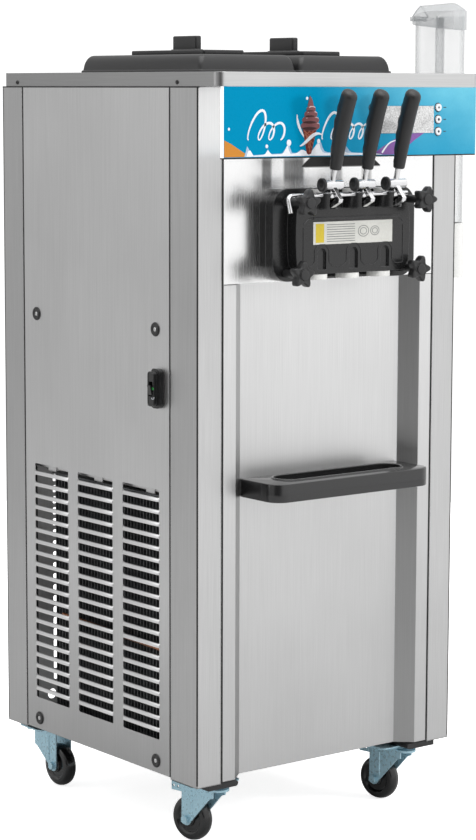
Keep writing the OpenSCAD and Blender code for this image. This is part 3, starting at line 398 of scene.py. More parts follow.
# Black of the seam strips, also used for painted shadow in gaps and painted dark fold lines
SEAM_AND_SHADOW_BLACK = black_plastic("seam_and_shadow_black", 0.006, 0.6)
WHEEL_RUBBER = black_plastic("wheel_rubber", 0.006, 0.22, 0.3, grain=(300, 300, 300), wear=0.12)
FAN_PLASTIC = black_plastic("fan_plastic", 0.012, 0.4)
SEAL_RUBBER = finish("seal_rubber", (0.08, 0.02, 0.02, 1), 0.0, 0.55, (300, 300, 300))
ZINC = finish("blue_zinc", srgb(176, 212, 226), 0.45, 0.30, (160, 160, 160), 0.05, bump=0.01,
              wear=0.5, wear_colour=srgb(225, 240, 246), cloud=0.08)
WHITE_NYLON = plain("white_nylon", (0.80, 0.80, 0.78, 1), 0.35)
BUTTON_WHITE = plain("button_white", (0.82, 0.84, 0.86, 1), 0.25)
HOLDER_WHITE = plain("holder_white", (0.83, 0.83, 0.81, 1), 0.35)
CLEAR_TUBE = see_through("clear_tube", (0.55, 0.57, 0.58, 1), 0.11, 0.50)
CLEAR_LID = see_through("clear_lid", (0.52, 0.54, 0.55, 1), 0.40, 0.75, 0.2)
CLEAR_EDGE = plain("clear_edge", srgb(150, 152, 154), 0.3)
FASCIA_PRINT = fascia_print()
DISPLAY_GLASS = display_glass()
LABEL_WHITE = plain("label_white", srgb(214, 214, 208), 0.35)
LABEL_YELLOW = plain("label_yellow", srgb(214, 190, 52), 0.4)
INK_GREY = plain("ink_grey", srgb(88, 90, 94), 0.5)
INK_DARK = plain("ink_dark", srgb(28, 40, 54), 0.5)
INK_WHITE = plain("ink_white", srgb(238, 242, 248), 0.35)
INK_SHADE = plain("ink_milk_shade", srgb(172, 196, 220), 0.35)
INK_ORANGE = plain("ink_orange", srgb(205, 132, 30), 0.35)
INK_PURPLE = plain("ink_purple", srgb(128, 84, 158), 0.35)
INK_WAFFLE = plain("ink_waffle", srgb(112, 40, 28))
INK_WAFFLE_LINE = plain("ink_waffle_line", srgb(186, 106, 76))
INK_CHOCOLATE = plain("ink_chocolate", srgb(128, 78, 80))
INK_COCOA = plain("ink_cocoa", srgb(66, 32, 34))
INK_CREAM = plain("ink_cream", srgb(214, 186, 186))
STATUS_GREEN = plain("status_green", srgb(30, 160, 60), 0.3)

NODE_FINISH = {
    "base_frame": FRAME_PAINT, "corner_posts": STEEL_POST, "left_side_panel": STEEL_SIDE,
    "right_side_panel": STEEL_SIDE, "rear_panel": STEEL_SIDE, "lower_front_panel": STEEL_FRONT,
    "head_panel": STEEL_HEAD, "top_cap": STEEL_CAP, "fascia": FASCIA_PRINT, "display_module": DISPLAY_GLASS,
    "plus_button": BUTTON_WHITE, "minus_button": BUTTON_WHITE, "stop_button": BUTTON_WHITE,
    "breaker_housing": BREAKER_BLACK, "breaker_rocker": BREAKER_BLACK, "hoppers": STEEL_TUB,
    "freezing_cylinders": STEEL_TUB, "left_beater": CHROME, "right_beater": CHROME, "gear_motor": MOTOR_PAINT,
    "compressor": COMPRESSOR_PAINT, "condenser": FINS, "fan_blades": FAN_PLASTIC, "head_flange": BODY_GLOSS,
    "head_body": HEAD_PLASTIC, "head_seals": SEAL_RUBBER, "head_studs": STUD, "pivot_pin": CHROME,
    "nozzles": WHITE_NYLON, "cone_holder": HOLDER_WHITE, "cone_tubes": CLEAR_TUBE, "cone_lid": CLEAR_LID,
    "castor_plates": ZINC, "panel_screws": SCREW_BLACK, "drip_tray": TRAY_GLOSS,
}
for side in SIDES:
    NODE_FINISH[f"{side}_lever"] = CHROME
    NODE_FINISH[f"{side}_plunger"] = WHITE_NYLON
    NODE_FINISH[f"{side}_grip"] = GRIP_PLASTIC
for side in ("left", "right"):
    NODE_FINISH[f"{side}_lid"] = LID_PLASTIC
    NODE_FINISH[f"{side}_lid_cover"] = LID_PLASTIC
    for row in ("upper", "lower"):
        NODE_FINISH[f"{row}_{side}_star_knob"] = KNOB_PLASTIC
for corner in CORNERS:
    NODE_FINISH[f"{corner}_fork"] = ZINC
    NODE_FINISH[f"{corner}_wheel"] = WHEEL_RUBBER
for node, material in NODE_FINISH.items():
    mesh = frame["nodes"][node].data
    mesh.materials.clear()
    mesh.materials.append(material)


# ---- mesh helpers ----

def add_mesh(name, points, faces, material, body, crease):
    """A named mesh, given in millimetres, that rides on a body."""
    mesh = bpy.data.meshes.new(name)
    mesh.from_pydata([Vector(p) * MM for p in points], [], faces)
    mesh.validate()
    mesh.polygons.foreach_set("use_smooth", [True] * len(mesh.polygons))
    mesh.set_sharp_from_angle(angle=math.radians(crease))
    mesh.materials.append(material)
    piece = bpy.data.objects.new(name, mesh)
    bpy.context.scene.collection.objects.link(piece)
    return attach(piece, body)


class Mesh:
    """Collects rings, prisms and boxes for one piece."""

    def __init__(self):
        self.points = []
        self.faces = []

    def loft(self, rings, start_cap=True, end_cap=True, closed=False):
        """Skin over rings that have the same number of points."""
        first = len(self.points)
        n = len(rings[0])
        for ring in rings:
            self.points.extend(ring)
        spans = len(rings) if closed else len(rings) - 1
        for i in range(spans):
            a = first + i * n
            b = first + (i + 1) % len(rings) * n
            self.faces.extend((a + k, a + (k + 1) % n, b + (k + 1) % n, b + k) for k in range(n))
        if start_cap and not closed:
            self.faces.append(tuple(range(first + n - 1, first - 1, -1)))
        if end_cap and not closed:
            last = first + (len(rings) - 1) * n
            self.faces.append(tuple(range(last, last + n)))

    def box(self, lo, hi, edge=0.4):
        """Box with bevelled edges."""
        rings = []
        for inset, z in ((edge, lo[2]), (0, lo[2] + edge), (0, hi[2] - edge), (edge, hi[2])):
            x0, y0, x1, y1 = lo[0] + inset, lo[1] + inset, hi[0] - inset, hi[1] - inset
            rings.append([(x0, y0, z), (x1, y0, z), (x1, y1, z), (x0, y1, z)])
        self.loft(rings)

    def between(self, xs, ys, zs, edge):
        """Box between two values of X, of Y and of Z, each given in any order."""
        spans = [sorted(values) for values in (xs, ys, zs)]
        self.box([low for low, _ in spans], [high for _, high in spans], edge)

    def plate(self, outline, y, depth):
        """Thin plate that faces the front: outline in X and Z, from y back by depth."""
        self.loft([[(x, y + depth, z) for x, z in outline], [(x, y, z) for x, z in outline]])

    def pipe(self, path, radius, n=10):
        self.loft(pipe_rings(path, radius, n))

    def turned_x(self, y, z, profile, n=40):
        """Round part along X at (y, z); the profile is a list of (radius, x)."""
        self.loft([circle_x(y, z, r, x, n) for r, x in profile])

    def done(self, name, material, body="cabinet", crease=35, slot=None, node=None):
        """Makes the piece with the material given; slot is not used. It stands in for a CAD node when one is
        given.
        """
        piece = add_mesh(name, self.points, self.faces, material, body, crease)
        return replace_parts(piece, node) if node else piece


def turn_of(k, n):
    """Angle of step k of n in a full turn."""
    return 2 * math.pi * k / n


def fractions(count):
    """0 to 1 in count steps."""
    return [k / count for k in range(count + 1)]


def quarter_turn(steps):
    """Angles of a quarter turn."""
    return [math.pi / 2 * t for t in fractions(steps)]


def round_points(n, r):
    """The n points of a circle of radius r, as pairs."""
    return [(r * math.cos(turn_of(k, n)), r * math.sin(turn_of(k, n))) for k in range(n)]


def rect_ring(centre, w, d, r, z, steps=6):
    """Rectangle with round corners, level at height z. r is one radius, or rear and front radii."""
    rear, front = r if isinstance(r, tuple) else (r, r)
    ring = []
    for k, (sx, sy) in enumerate(((1, 1), (-1, 1), (-1, -1), (1, -1))):
        radius = rear if sy > 0 else front
        for i in range(steps + 1):
            a = math.pi / 2 * (k + i / steps)
            ring.append((centre[0] + sx * (w / 2 - radius) + radius * math.cos(a),
                         centre[1] + sy * (d / 2 - radius) + radius * math.sin(a), z))
    return ring


def slab_rings(centre, w, d, r, z0, z1, edge, steps=4):
    """Rings of a slab whose top and bottom edges are round."""
    def ring(inset, z):
        return rect_ring(centre, w - 2 * inset, d - 2 * inset, max(r - inset, 0.5), z)

    quarter = quarter_turn(steps)
    rings = [ring(edge * (1 - math.sin(a)), z0 + edge * (1 - math.cos(a))) for a in quarter]
    return rings + [ring(edge * (1 - math.cos(a)), z1 - edge * (1 - math.sin(a))) for a in quarter]


def circle_y(x, z, r, y, n=32):
    """Circle that faces along Y and starts at its right."""
    return [(x + a, y, z + b) for a, b in round_points(n, r)]


def circle_x(y, z, r, x, n=40):
    """Circle that faces along X."""
    return [(x, y + a, z + b) for a, b in round_points(n, r)]


def circle_z(place, r, z, n):
    """Level circle round the upright axis through a place."""
    return [(place.x + a, place.y + b, z) for a, b in round_points(n, r)]


def pipe_rings(path, radius, n=10):
    """Rings of a pipe along a path."""
    path = [Vector(p) for p in path]
    rings = []
    side = None
    for i, p in enumerate(path):
        ahead = (path[min(i + 1, len(path) - 1)] - path[max(i - 1, 0)]).normalized()
        if side is None:
            side = ahead.orthogonal().normalized()
        side = (side - ahead * side.dot(ahead)).normalized()
        up = ahead.cross(side)
        rings.append([p + side * a + up * b for a, b in round_points(n, radius)])
    return rings


def rounded_path(corners, radius, steps=6):
    """A path through corners, with each bend rounded."""
    corners = [Vector(c) for c in corners]
    path = [corners[0]]
    for before, corner, after in zip(corners, corners[1:], corners[2:]):
        a = corner + (before - corner).normalized() * radius
        b = corner + (after - corner).normalized() * radius
        for i in range(steps + 1):
            t = i / steps
            path.append(a * (1 - t) ** 2 + corner * 2 * t * (1 - t) + b * t * t)
    path.append(corners[-1])
    return path


# ---- hopper lids ----

def hopper_lid(side):
    """Lid with a thin rim, a rounded shoulder all round and the filler opening."""
    lo, hi = node_box(f"{side}_lid")
    centre = (lo + hi) / 2
    w, l, h = hi - lo
    filler_w, filler_l = 66, 180
    shoulder, wall = 11, 14
    rim_h, sink = 5, 4
    steps = 10

    def ring(inset, corner, z):
        return rect_ring(centre, w - 2 * inset, l - 2 * inset, corner, z)

    rings = [ring(0.75, 8, lo.z), ring(0, 9, lo.z + 1), ring(0, 9, lo.z + 3), ring(1, 8, lo.z + 4.2),
             ring(2.5, 8, lo.z + 4.6)]
    for t, a in zip(fractions(steps)[1:], quarter_turn(steps)[1:]):
        inset = 2.5 + 2 * t + shoulder * (1 - math.cos(a))
        rings.append(ring(inset, 9, lo.z + rim_h + (h - rim_h) * math.sin(a)))
    rings += [rect_ring(centre, filler_w + 2, filler_l + 2, 8, hi.z),
              rect_ring(centre, filler_w, filler_l, 7, hi.z - 1),
              rect_ring(centre, filler_w, filler_l, 7, hi.z - sink),
              ring(wall + 8, 8, hi.z - sink), ring(wall, 8, lo.z + 10), ring(wall, 8, lo.z)]
    shape = Mesh()
    shape.loft(rings, closed=True)
    shape.done(f"{side}_hopper_lid", LID_PLASTIC, f"{side}_lid", 50, "lid_black", f"{side}_lid")


def filler_cover(side):
    """Flat cover with a round edge, a locating lip and a tall grip."""
    lo, hi = node_box(f"{side}_lid_cover")
    lid_top = node_box(f"{side}_lid")[1].z
    centre = (lo + hi) / 2
    shape = Mesh()
    shape.loft(slab_rings(centre, hi.x - lo.x, hi.y - lo.y, 6, lid_top, lid_top + 8, 2.2))
    lip_w, lip_l = 64, 178
    shape.loft(slab_rings(centre, lip_w, lip_l, 7, lo.z, lid_top + 1, 0.4))
    grip_w, grip_l = 13.5, 66
    shape.loft(slab_rings(centre, grip_w, grip_l, 4.5, lid_top + 7, hi.z, 2.6))
    foot_w, foot_l = 19, 72
    shape.loft(slab_rings(centre, foot_w, foot_l, 6, lid_top + 7.5, lid_top + 10, 1.2))
    shape.done(f"{side}_filler_cover", LID_PLASTIC, f"{side}_lid_cover", 50, "lid_black", f"{side}_lid_cover")


# ---- dispensing head ----

def handle_grip(side):
    """Moulded grip: leans forward, finger waves behind, slanted top; with the end cap of the hub."""
    pivot = joint_place(f"{side}_handle_pull")
    lo, hi = node_box(f"{side}_grip")
    hub = pivot + Vector((0, -6, 16))
    start = hub + Vector((-hub.x, -8, 24))
    bend = hub + Vector((-hub.x, -18, 88))
    end = Vector((0, lo.y + 14, hi.z - 9))
    foot_half_w, foot_half_d = 8.8, 9.4
    swell_w, swell_d = 3.9, 4.4
    wave_height, waves = 1.5, 5.2
    steps, tip_steps, n = 36, 7, 28
    rings = []
    for i in range(steps + 1):
        t = i / steps
        centre = start * (1 - t) ** 2 + bend * 2 * t * (1 - t) + end * t * t
        ahead = ((bend - start) * (1 - t) + (end - bend) * t).normalized()
        outward = Vector((0, -ahead.z, ahead.y))
        half_w = foot_half_w + swell_w * min(1, t * 2.0) ** 0.8
        half_d = foot_half_d + swell_d * min(1, t * 1.6) ** 0.8
        if i == 0:
            rings.append(grip_ring(pivot.x, centre, outward, half_w - 1.6, half_d - 1.6, 0, n))
            centre = centre + ahead * 1.4
        wave = wave_height * math.sin(2 * math.pi * t * waves) if 0.08 < t < 0.86 else 0
        rings.append(grip_ring(pivot.x, centre, outward, half_w, half_d, wave, n))
    tip, slant = 10.5, 3.2
    for a in quarter_turn(tip_steps)[1:]:
        centre = end + ahead * tip * math.sin(a) - outward * slant * (1 - math.cos(a))
        shrink = max(math.cos(a), 0.04) ** 0.75
        rings.append(grip_ring(pivot.x, centre, outward, half_w * shrink, half_d * shrink, 0, n))
    shape = Mesh()
    shape.loft(rings)
    cap_profile = ((4.0, 1.6), (5.6, 1.2), (7.4, 0.1), (9.6, 0), (11, 1.2), (11, 4.2))
    shape.turned_x(hub.y, hub.z, [(r, lo.x + x) for r, x in cap_profile])
    shape.done(f"{side}_handle_grip", GRIP_PLASTIC, f"{side}_handle", 40, "grip_black", f"{side}_grip")


def grip_ring(x, centre, outward, half_w, half_d, wave, n):
    """One oval section of a grip; the wave pushes the rear side in or out."""
    ring = []
    for k in range(n):
        a = turn_of(k, n)
        depth = half_d * math.sin(a)
        if depth < 0:
            depth += wave * math.sin(a)
        ring.append((x + half_w * math.cos(a), centre.y + outward.y * depth, centre.z + outward.z * depth))
    return ring


def star_knob(row, side):
    """Hand nut: neck, five round lobes, dished face with a centre disc."""
    name = f"{row}_{side}_star_knob"
    place = joint_place(f"{name}_turn")
    lo, hi = node_box(name)
    front = lo.y + 1.5
    back = front + 15
    n = 60
    lobes, mean_r, lobe_h = 5, 17.4, 4.2
    turn = math.radians(18 if side == "right" else 6)

    def star(scale, y, depth=lobe_h):
        """Ring with round lobes; its points start at the top."""
        ring = []
        for k in range(n):
            a = turn_of(k, n)
            r = mean_r + depth * math.cos(lobes * (a - turn)) + 0.5 * math.cos(2 * lobes * (a - turn))
            ring.append((place.x + r * scale * math.sin(a), y, place.z + r * scale * math.cos(a)))
        return ring

    def circle(r, y):
        """Circle whose points start at the top, like those of the star."""
        return [(place.x + b, y, place.z + a) for a, b in round_points(n, r)]

    neck = ((6.5, hi.y), (6.5, back + 0.6), (9.5, back))
    star_sections = ((0.80, back), (0.94, back - 0.7), (1.0, back - 2.4), (1.0, front + 3.6),
                     (0.97, front + 1.6), (0.90, front + 0.5), (0.80, front), (0.70, front + 0.6, 2.4))
    disc_sections = ((8.6, front + 0.9), (8.1, front - 1.1), (6.8, lo.y), (3, lo.y))
    shape = Mesh()
    shape.loft([circle(*section) for section in neck] + [star(*section) for section in star_sections]
               + [circle(*section) for section in disc_sections])
    shape.done(f"{row}_{side}_hand_nut", KNOB_PLASTIC, name, 45, "knob_black", name)


def head_trim():
    """Raised parts of the head's face: ridge, border round the arches, and side ribs."""
    half, low, rib_top = 104, HEAD_MID.z - 50, HEAD_MID.z + 12
    # Left half of an arch round a valve: distance from the valve's axis, height above the border
    arch = ((22, 0), (15, 7), (15, 26), (7, 35))
    border = [(-half, rib_top), (-half, low)]
    for side in SIDES:
        x = joint_place(f"{side}_handle_pull").x
        border += [(x - out, low + up) for out, up in arch]
        border += [(x + out, low + up) for out, up in reversed(arch)]
    border += [(half, low), (half, rib_top)]
    ridge_low, ridge_top, slope = HEAD_MID.z + 18, HEAD_MID.z + 27, 12
    ridge = [(-half, ridge_low), (slope - half, ridge_top), (half - slope, ridge_top), (half, ridge_low)]
    shape = Mesh()
    for outline, bend, steps in ((border, 3, 3), (ridge, 4, 4)):
        shape.pipe(rounded_path([(x, HEAD_FACE_Y, z) for x, z in outline], bend, steps), 1.0, 8)
    shape.done("head_face_ribs", HEAD_PLASTIC, crease=60)


def head_label():
    """Plain info plate with a yellow band, ruled lines and two line drawings of a ring."""
    y = HEAD_FACE_Y
    x0, x1 = HEAD_MID.x - 84.5, HEAD_MID.x + 81
    z0, z1 = HEAD_MID.z - 15.2, HEAD_MID.z + 20.8

    def outline(inset, out):
        left, right, low, high = x0 + inset, x1 - inset, z0 + inset, z1 - inset
        return [(x, y - out, z) for x, z in ((left, low), (right, low), (right, high), (left, high))]

    plate = Mesh()
    plate.loft([outline(0, 0), outline(0, 0.5), outline(0.4, 0.8)])
    plate.done("head_label_plate", LABEL_WHITE)
    band = Mesh()
    band.box((x0 + 5, y - 1.0, z0 + 3), (x0 + 22, y - 0.7, z1 - 3), 0.1)
    band.done("head_label_band", LABEL_YELLOW)
    lines = Mesh()
    rows, row_pitch, half_line = 8, 3.8, 0.45
    for row in range(rows):
        z = z1 - 5 - row * row_pitch
        lines.box((x0 + 28, y - 1.0, z - half_line), (x0 + 86, y - 0.75, z + half_line), 0.05)
    ring_z, flat = HEAD_MID.z + 4, 0.8
    for ring_x, r in ((x0 + 104, 11), (x0 + 128, 9)):
        for ring_r in (r, r * 0.6):
            path = [(ring_x + a, y - 0.8, ring_z + flat * b) for a, b in round_points(24, ring_r)]
            lines.pipe(path + path[:1], half_line, 6)
    lines.done("head_label_lines", INK_GREY)


# ---- fascia art ----

LAYER = 0.12     # height of a printed layer over the one below


def on_fascia(x, z):
    """Place measured from the fascia's lower left corner."""
    return FASCIA_LO.x + x, FASCIA_LO.z + z


def printed(name, outline, material, layer):
    """One flat printed shape on the fascia; higher layers lie on top."""
    shape = Mesh()
    shape.plate(outline, ART_Y - LAYER * layer, 0.1 * layer)
    return shape.done(name, material)


def splash(x0, x1, base, peaks):
    """Outline of a milk splash on the fascia's lower edge: peaks are (x, height, half width, lean)."""
    floor = 1.2
    count = 60
    upper = []
    for i in range(count + 1):
        t = i / count
        x = x0 + (x1 - x0) * t
        z = base * math.sin(math.pi * t) ** 0.5
        shift = 0.0
        for peak_x, height, half, lean in peaks:
            bump = math.exp(-((x - peak_x) / half) ** 2)
            z += height * bump
            shift += lean * bump * bump
        upper.append(on_fascia(x + shift, floor + z))
    return [on_fascia(x1, floor), *reversed(upper), on_fascia(x0, floor)]


def disc(x, z, r, n=20, stretch=1.0):
    return [(x + a, z + b * stretch) for a, b in round_points(n, r)]


def stroke(centre, width):
    """Outline of a brush stroke: a path with a width at each point."""
    left, right = [], []
    for i, (x, z) in enumerate(centre):
        ax, az = centre[max(i - 1, 0)]
        bx, bz = centre[min(i + 1, len(centre) - 1)]
        length = math.hypot(bx - ax, bz - az) or 1
        nx, nz = -(bz - az) / length, (bx - ax) / length
        half = width(i / (len(centre) - 1)) / 2
        left.append((x + nx * half, z + nz * half))
        right.append((x - nx * half, z - nz * half))
    return left, right


def stroke_rings(centre, width, height):
    """A brush stroke as rings, so that it may cross itself."""
    y0, y1 = ART_Y - height, ART_Y
    return [[(l[0], y1, l[1]), (l[0], y0, l[1]), (r[0], y0, r[1]), (r[0], y1, r[1])]
            for l, r in zip(*stroke(centre, width))]


def ribbon(name, centre, width, material, layer):
    """Printed brush stroke."""
    shape = Mesh()
    shape.loft(stroke_rings(centre, width, LAYER * layer))
    return shape.done(name, material, crease=60)


def bulging(ends, middle):
    """Width of a stroke that is thick in its middle."""
    return lambda t: ends + middle * math.sin(math.pi * t)


def pen_like(thin, change, waves):
    """Width of a stroke that swells and thins as a pen line does."""
    return lambda t: thin + change * math.sin(waves * t) ** 2


def flourish(start, loops, pitch, height, slant=0.35):
    """A looping pen line, like icing, that leans to the right; its first loop is tall."""
    x0, z0 = start
    steps, tall_loop = 22, 1.75
    path = []
    for i in range(loops * steps + 1):
        a = turn_of(i, steps)
        z = height / 2 * (1 - math.cos(a)) * (tall_loop if i < steps else 1)
        x = x0 + pitch * i / steps - 0.42 * pitch * math.sin(a)
        path.append((x + slant * z, z0 + z))
    return path


def cone_art(x, z):
    """Printed cone with a swirl of four tiers; its point is at (x, z)."""
    rim = z + 42
    wafer = [(x - 13, rim), (x - 4, z + 2), (x, z), (x + 5, z + 2), (x + 16, rim)]
    printed("art_cone", wafer, INK_WAFFLE, 4)
    grid = Mesh()
    for k in range(5):
        t = k / 4
        for sx in (-1, 1):
            upper = (x + sx * (13 - 9 * t), rim - 15.6 * t)
            lower = (x + sx * (-12 + 11 * t) + 2, rim - 12 - 26 * t)
            grid.loft(stroke_rings([upper, lower], lambda _: 1.1, 0.6))
    grid.done("art_cone_waffle", INK_WAFFLE_LINE)
    # Each tier: half width, height and place above the cone's point
    for i, (half, height, up) in enumerate(((19, 17, 45), (17, 15, 54), (13, 13, 63), (9, 11, 71))):
        centre = x + 1 + 0.04 * up
        printed(f"art_swirl_{i}", disc(centre, z + up, half, 24, height / half / 2), INK_CHOCOLATE, 5 + i)
        shade = disc(centre - 2, z + up - 0.22 * height, half * 0.8, 16, 0.16)
        printed(f"art_swirl_shade_{i}", shade, INK_COCOA, 5.3 + i)
        fold = [(centre + half * (1.5 * t - 0.55), z + up + 0.18 * height + 3 * math.sin(math.pi * t))
                for t in fractions(8)]
        ribbon(f"art_swirl_glow_{i}", fold, bulging(0.6, 2.2), INK_CREAM, 5.6 + i)
    tip = [(x - 3, z + 76), (x + 9, z + 76), (x + 6, z + 86), (x + 1.5, z + 92)]
    printed("art_swirl_tip", tip, INK_CHOCOLATE, 9.5)


def fascia_art():
    """All printed shapes of the fascia."""
    orange = ((1, 27), (1, 1), (52, 1), (33, 11), (15, 21))
    printed("art_orange_corner", [on_fascia(x, z) for x, z in orange], INK_ORANGE, 1)
    purple = ((298, 1), (354, 1), (390, 24), (412, 36), (374, 34), (356, 30), (322, 14))
    printed("art_purple_wedge", [on_fascia(x, z) for x, z in purple], INK_PURPLE, 1)
    shade_peaks = ((48, 17, 4, -5), (125, 18, 5, 4), (187, 18, 9, 3), (242, 10, 8, 2))
    printed("art_splash_shade", splash(40, 322, 5, shade_peaks), INK_SHADE, 2)
    milk_peaks = ((51, 15, 3, -5), (86, 8, 4, 1), (123, 15, 4, 4), (156, 6, 9, -2), (184, 16, 8, 4),
                  (232, 8, 9, 2))
    printed("art_splash", splash(44, 320, 4, milk_peaks), INK_WHITE, 3)
    drops = ((128, 22, 4.4), (84, 17, 2.6), (188, 24, 3.2), (164, 91, 2.2), (10, 44, 2.0))
    for i, (x, z, r) in enumerate(drops):
        printed(f"art_drop_{i}", disc(*on_fascia(x, z), r, 18, 1.15), INK_WHITE, 3)
    falling = [on_fascia(144 + 16.2 * t * t, 66 - 37.2 * t) for t in fractions(18)]
    ribbon("art_milk_ribbon", falling, bulging(1.2, 3.4), INK_WHITE, 3)
    sash = [on_fascia(150 + 44 * t, 26 + 10 * math.sin(3.4 * t - 1.2)) for t in fractions(16)]
    ribbon("art_milk_sash", sash, bulging(1.5, 4.0), INK_WHITE, 11)
    streak = [on_fascia(320 + 40 * t, 4 + 30 * t + 4 * math.sin(5 * t)) for t in fractions(12)]
    ribbon("art_milk_streak", streak, lambda t: 3.4 - 2.6 * t, INK_WHITE, 3)
    ribbon("art_flourish_left", flourish(on_fascia(48, 27), 3, 21, 26), pen_like(2.0, 2.2, 9), INK_WHITE, 3)
    wide_loops = flourish(on_fascia(196, 27), 5, 19, 24)
    ribbon("art_flourish_right", wide_loops, pen_like(2.0, 2.2, 15), INK_WHITE, 3)
    cone_art(*on_fascia(168, 3))


def button_art():
    """Rings and simple signs of the three buttons, and a printed touch spot by the display."""
    outer, inner = 7.6, 6.4
    ring_profile = ((inner, 0.5), (inner, -0.6), (outer - 0.3, -0.7), (outer, -0.2), (outer, 0.5))
    signs = {"plus": (3, 2.6), "minus": (24, 2.2), "stop": (4, 2.4)}
    for name, (sides, size) in signs.items():
        lo, hi = node_box(f"{name}_button")
        x, _, z = (lo + hi) / 2
        ring = Mesh()
        ring.loft([circle_y(x, z, r, ART_Y + y) for r, y in ring_profile], closed=True)
        ring.done(f"{name}_button_ring", INK_DARK)
        sign = Mesh()
        sign.plate([(x + b, z + a) for a, b in round_points(sides, size)], lo.y - 0.25, 0.35)
        sign.done(f"{name}_button_sign", INK_DARK, f"{name}_button")
        tick = Mesh()
        tick.box((x + 12, ART_Y - 0.2, z - 0.7), (x + 18, ART_Y + 0.1, z + 0.7), 0.1)
        tick.done(f"{name}_button_tick", INK_DARK)
    spot_x, spot_z = on_fascia(298, 76)
    for name, r, height, depth, ink in (("touch_spot_rim", 7.2, 0.2, 0.2, INK_DARK),
                                        ("touch_spot", 6.0, 0.4, 0.3, BUTTON_WHITE)):
        spot = Mesh()
        spot.plate(disc(spot_x, spot_z, r, 28), ART_Y - height, depth)
        spot.done(name, ink)


# ---- drip tray ----

def drip_tray():
    """Gloss moulding: round front corners, raised rim round a long well, ribs on its floor."""
    lo, hi = node_box("drip_tray")
    centre = (lo + hi) / 2
    w, d = hi.x - lo.x, hi.y - lo.y
    top = hi.z - 3
    well_l, well_w, rim = 264, 58, 4
    rear_corner, front_corner = 2.5, 26

    def outer(inset, z):
        return rect_ring(centre, w - 2 * inset, d - 2 * inset, (rear_corner, front_corner - inset), z, 8)

    def stadium(inset, z):
        return rect_ring(centre, well_l - 2 * inset, well_w - 2 * inset, well_w / 2 - inset - 0.05, z, 8)

    shape = Mesh()
    sides = ((2, lo.z), (0.4, lo.z + 0.6), (0, lo.z + 2), (0, top - 2), (0.5, top - 0.6), (1.8, top))
    well = ((-1.5, top), (-0.3, top + 0.6), (0.2, hi.z - 0.8), (1.2, hi.z), (rim - 1.2, hi.z),
            (rim, hi.z - 1), (rim + 0.5, hi.z - 20), (rim + 3, hi.z - 24.5))
    shape.loft([outer(*place) for place in sides] + [stadium(*place) for place in well])
    rib_pitch, half_rib_w, half_rib_l, ribs_each_side = 11, 1.2, 17, 9
    for k in range(-ribs_each_side, ribs_each_side + 1):
        x = centre.x + rib_pitch * k
        shape.box((x - half_rib_w, centre.y - half_rib_l, hi.z - 25),
                  (x + half_rib_w, centre.y + half_rib_l, hi.z - 22), 0.5)
    shape.done("drip_tray_moulding", TRAY_GLOSS, "drip_tray", 45, "tray_black", "drip_tray")


# ---- castors ----

def turned(ring, place, angle):
    """A ring turned about the upright axis through a place."""
    c, s = math.cos(angle), math.sin(angle)
    from_place = [(x - place.x, y - place.y, z) for x, y, z in ring]
    return [(place.x + x * c - y * s, place.y + x * s + y * c, z) for x, y, z in from_place]


def castor_wheel(corner):
    """Moulded wheel: crowned tread with a centre line, recessed web and hub."""
    name = f"{corner}_wheel_roll"
    axle = joint_place(name)
    axis = joint_named(name)["axis"]
    angle = math.atan2(axis[1], axis[0])
    lo, hi = node_box(f"{corner}_wheel")
    radius = (hi.z - lo.z) / 2
    half = 12.5
    # Radius, and depth into the wheel from its side
    web = ((4.1, 0), (11, 0), (12.4, 1.2), (13, 4), (22, 4.6), (24, 2.0), (26, 0.6), (30, 1.0))
    profile = [(r, depth - half) for r, depth in web]
    crown = 6
    profile += [(radius - crown - 0.2 + crown * math.sin(a), -0.9 - (half - 2.2) * math.cos(a))
                for a in quarter_turn(8)]
    profile.append((radius, -0.5))
    profile += [(r, -x) for r, x in reversed(profile)]
    shape = Mesh()
    rings = [circle_x(axle.y, axle.z, r, axle.x + x, 64) for r, x in profile]
    shape.loft([turned(ring, axle, angle) for ring in rings], closed=True)
    wheel = f"{corner}_wheel"
    shape.done(f"{corner}_castor_wheel", WHEEL_RUBBER, wheel, 30, "wheel_black", wheel)


def castor_race(corner):
    """Ball race cover and the pressed collar under a castor's top plate."""
    swivel = joint_place(f"{corner}_castor_swivel")
    base = node_box("castor_plates")[0].z + 12
    profile = ((25.5, 0), (27, 0.8), (26.5, 2.4), (25.2, 4.2), (24.4, 6.2), (24.1, 6.4))
    shape = Mesh()
    shape.loft([circle_z(swivel, r, base + up, 40) for r, up in profile], start_cap=False, end_cap=False)
    shape.done(f"{corner}_castor_race", ZINC, "cabinet", 50, "castor_zinc")


# ---- cone dispenser ----

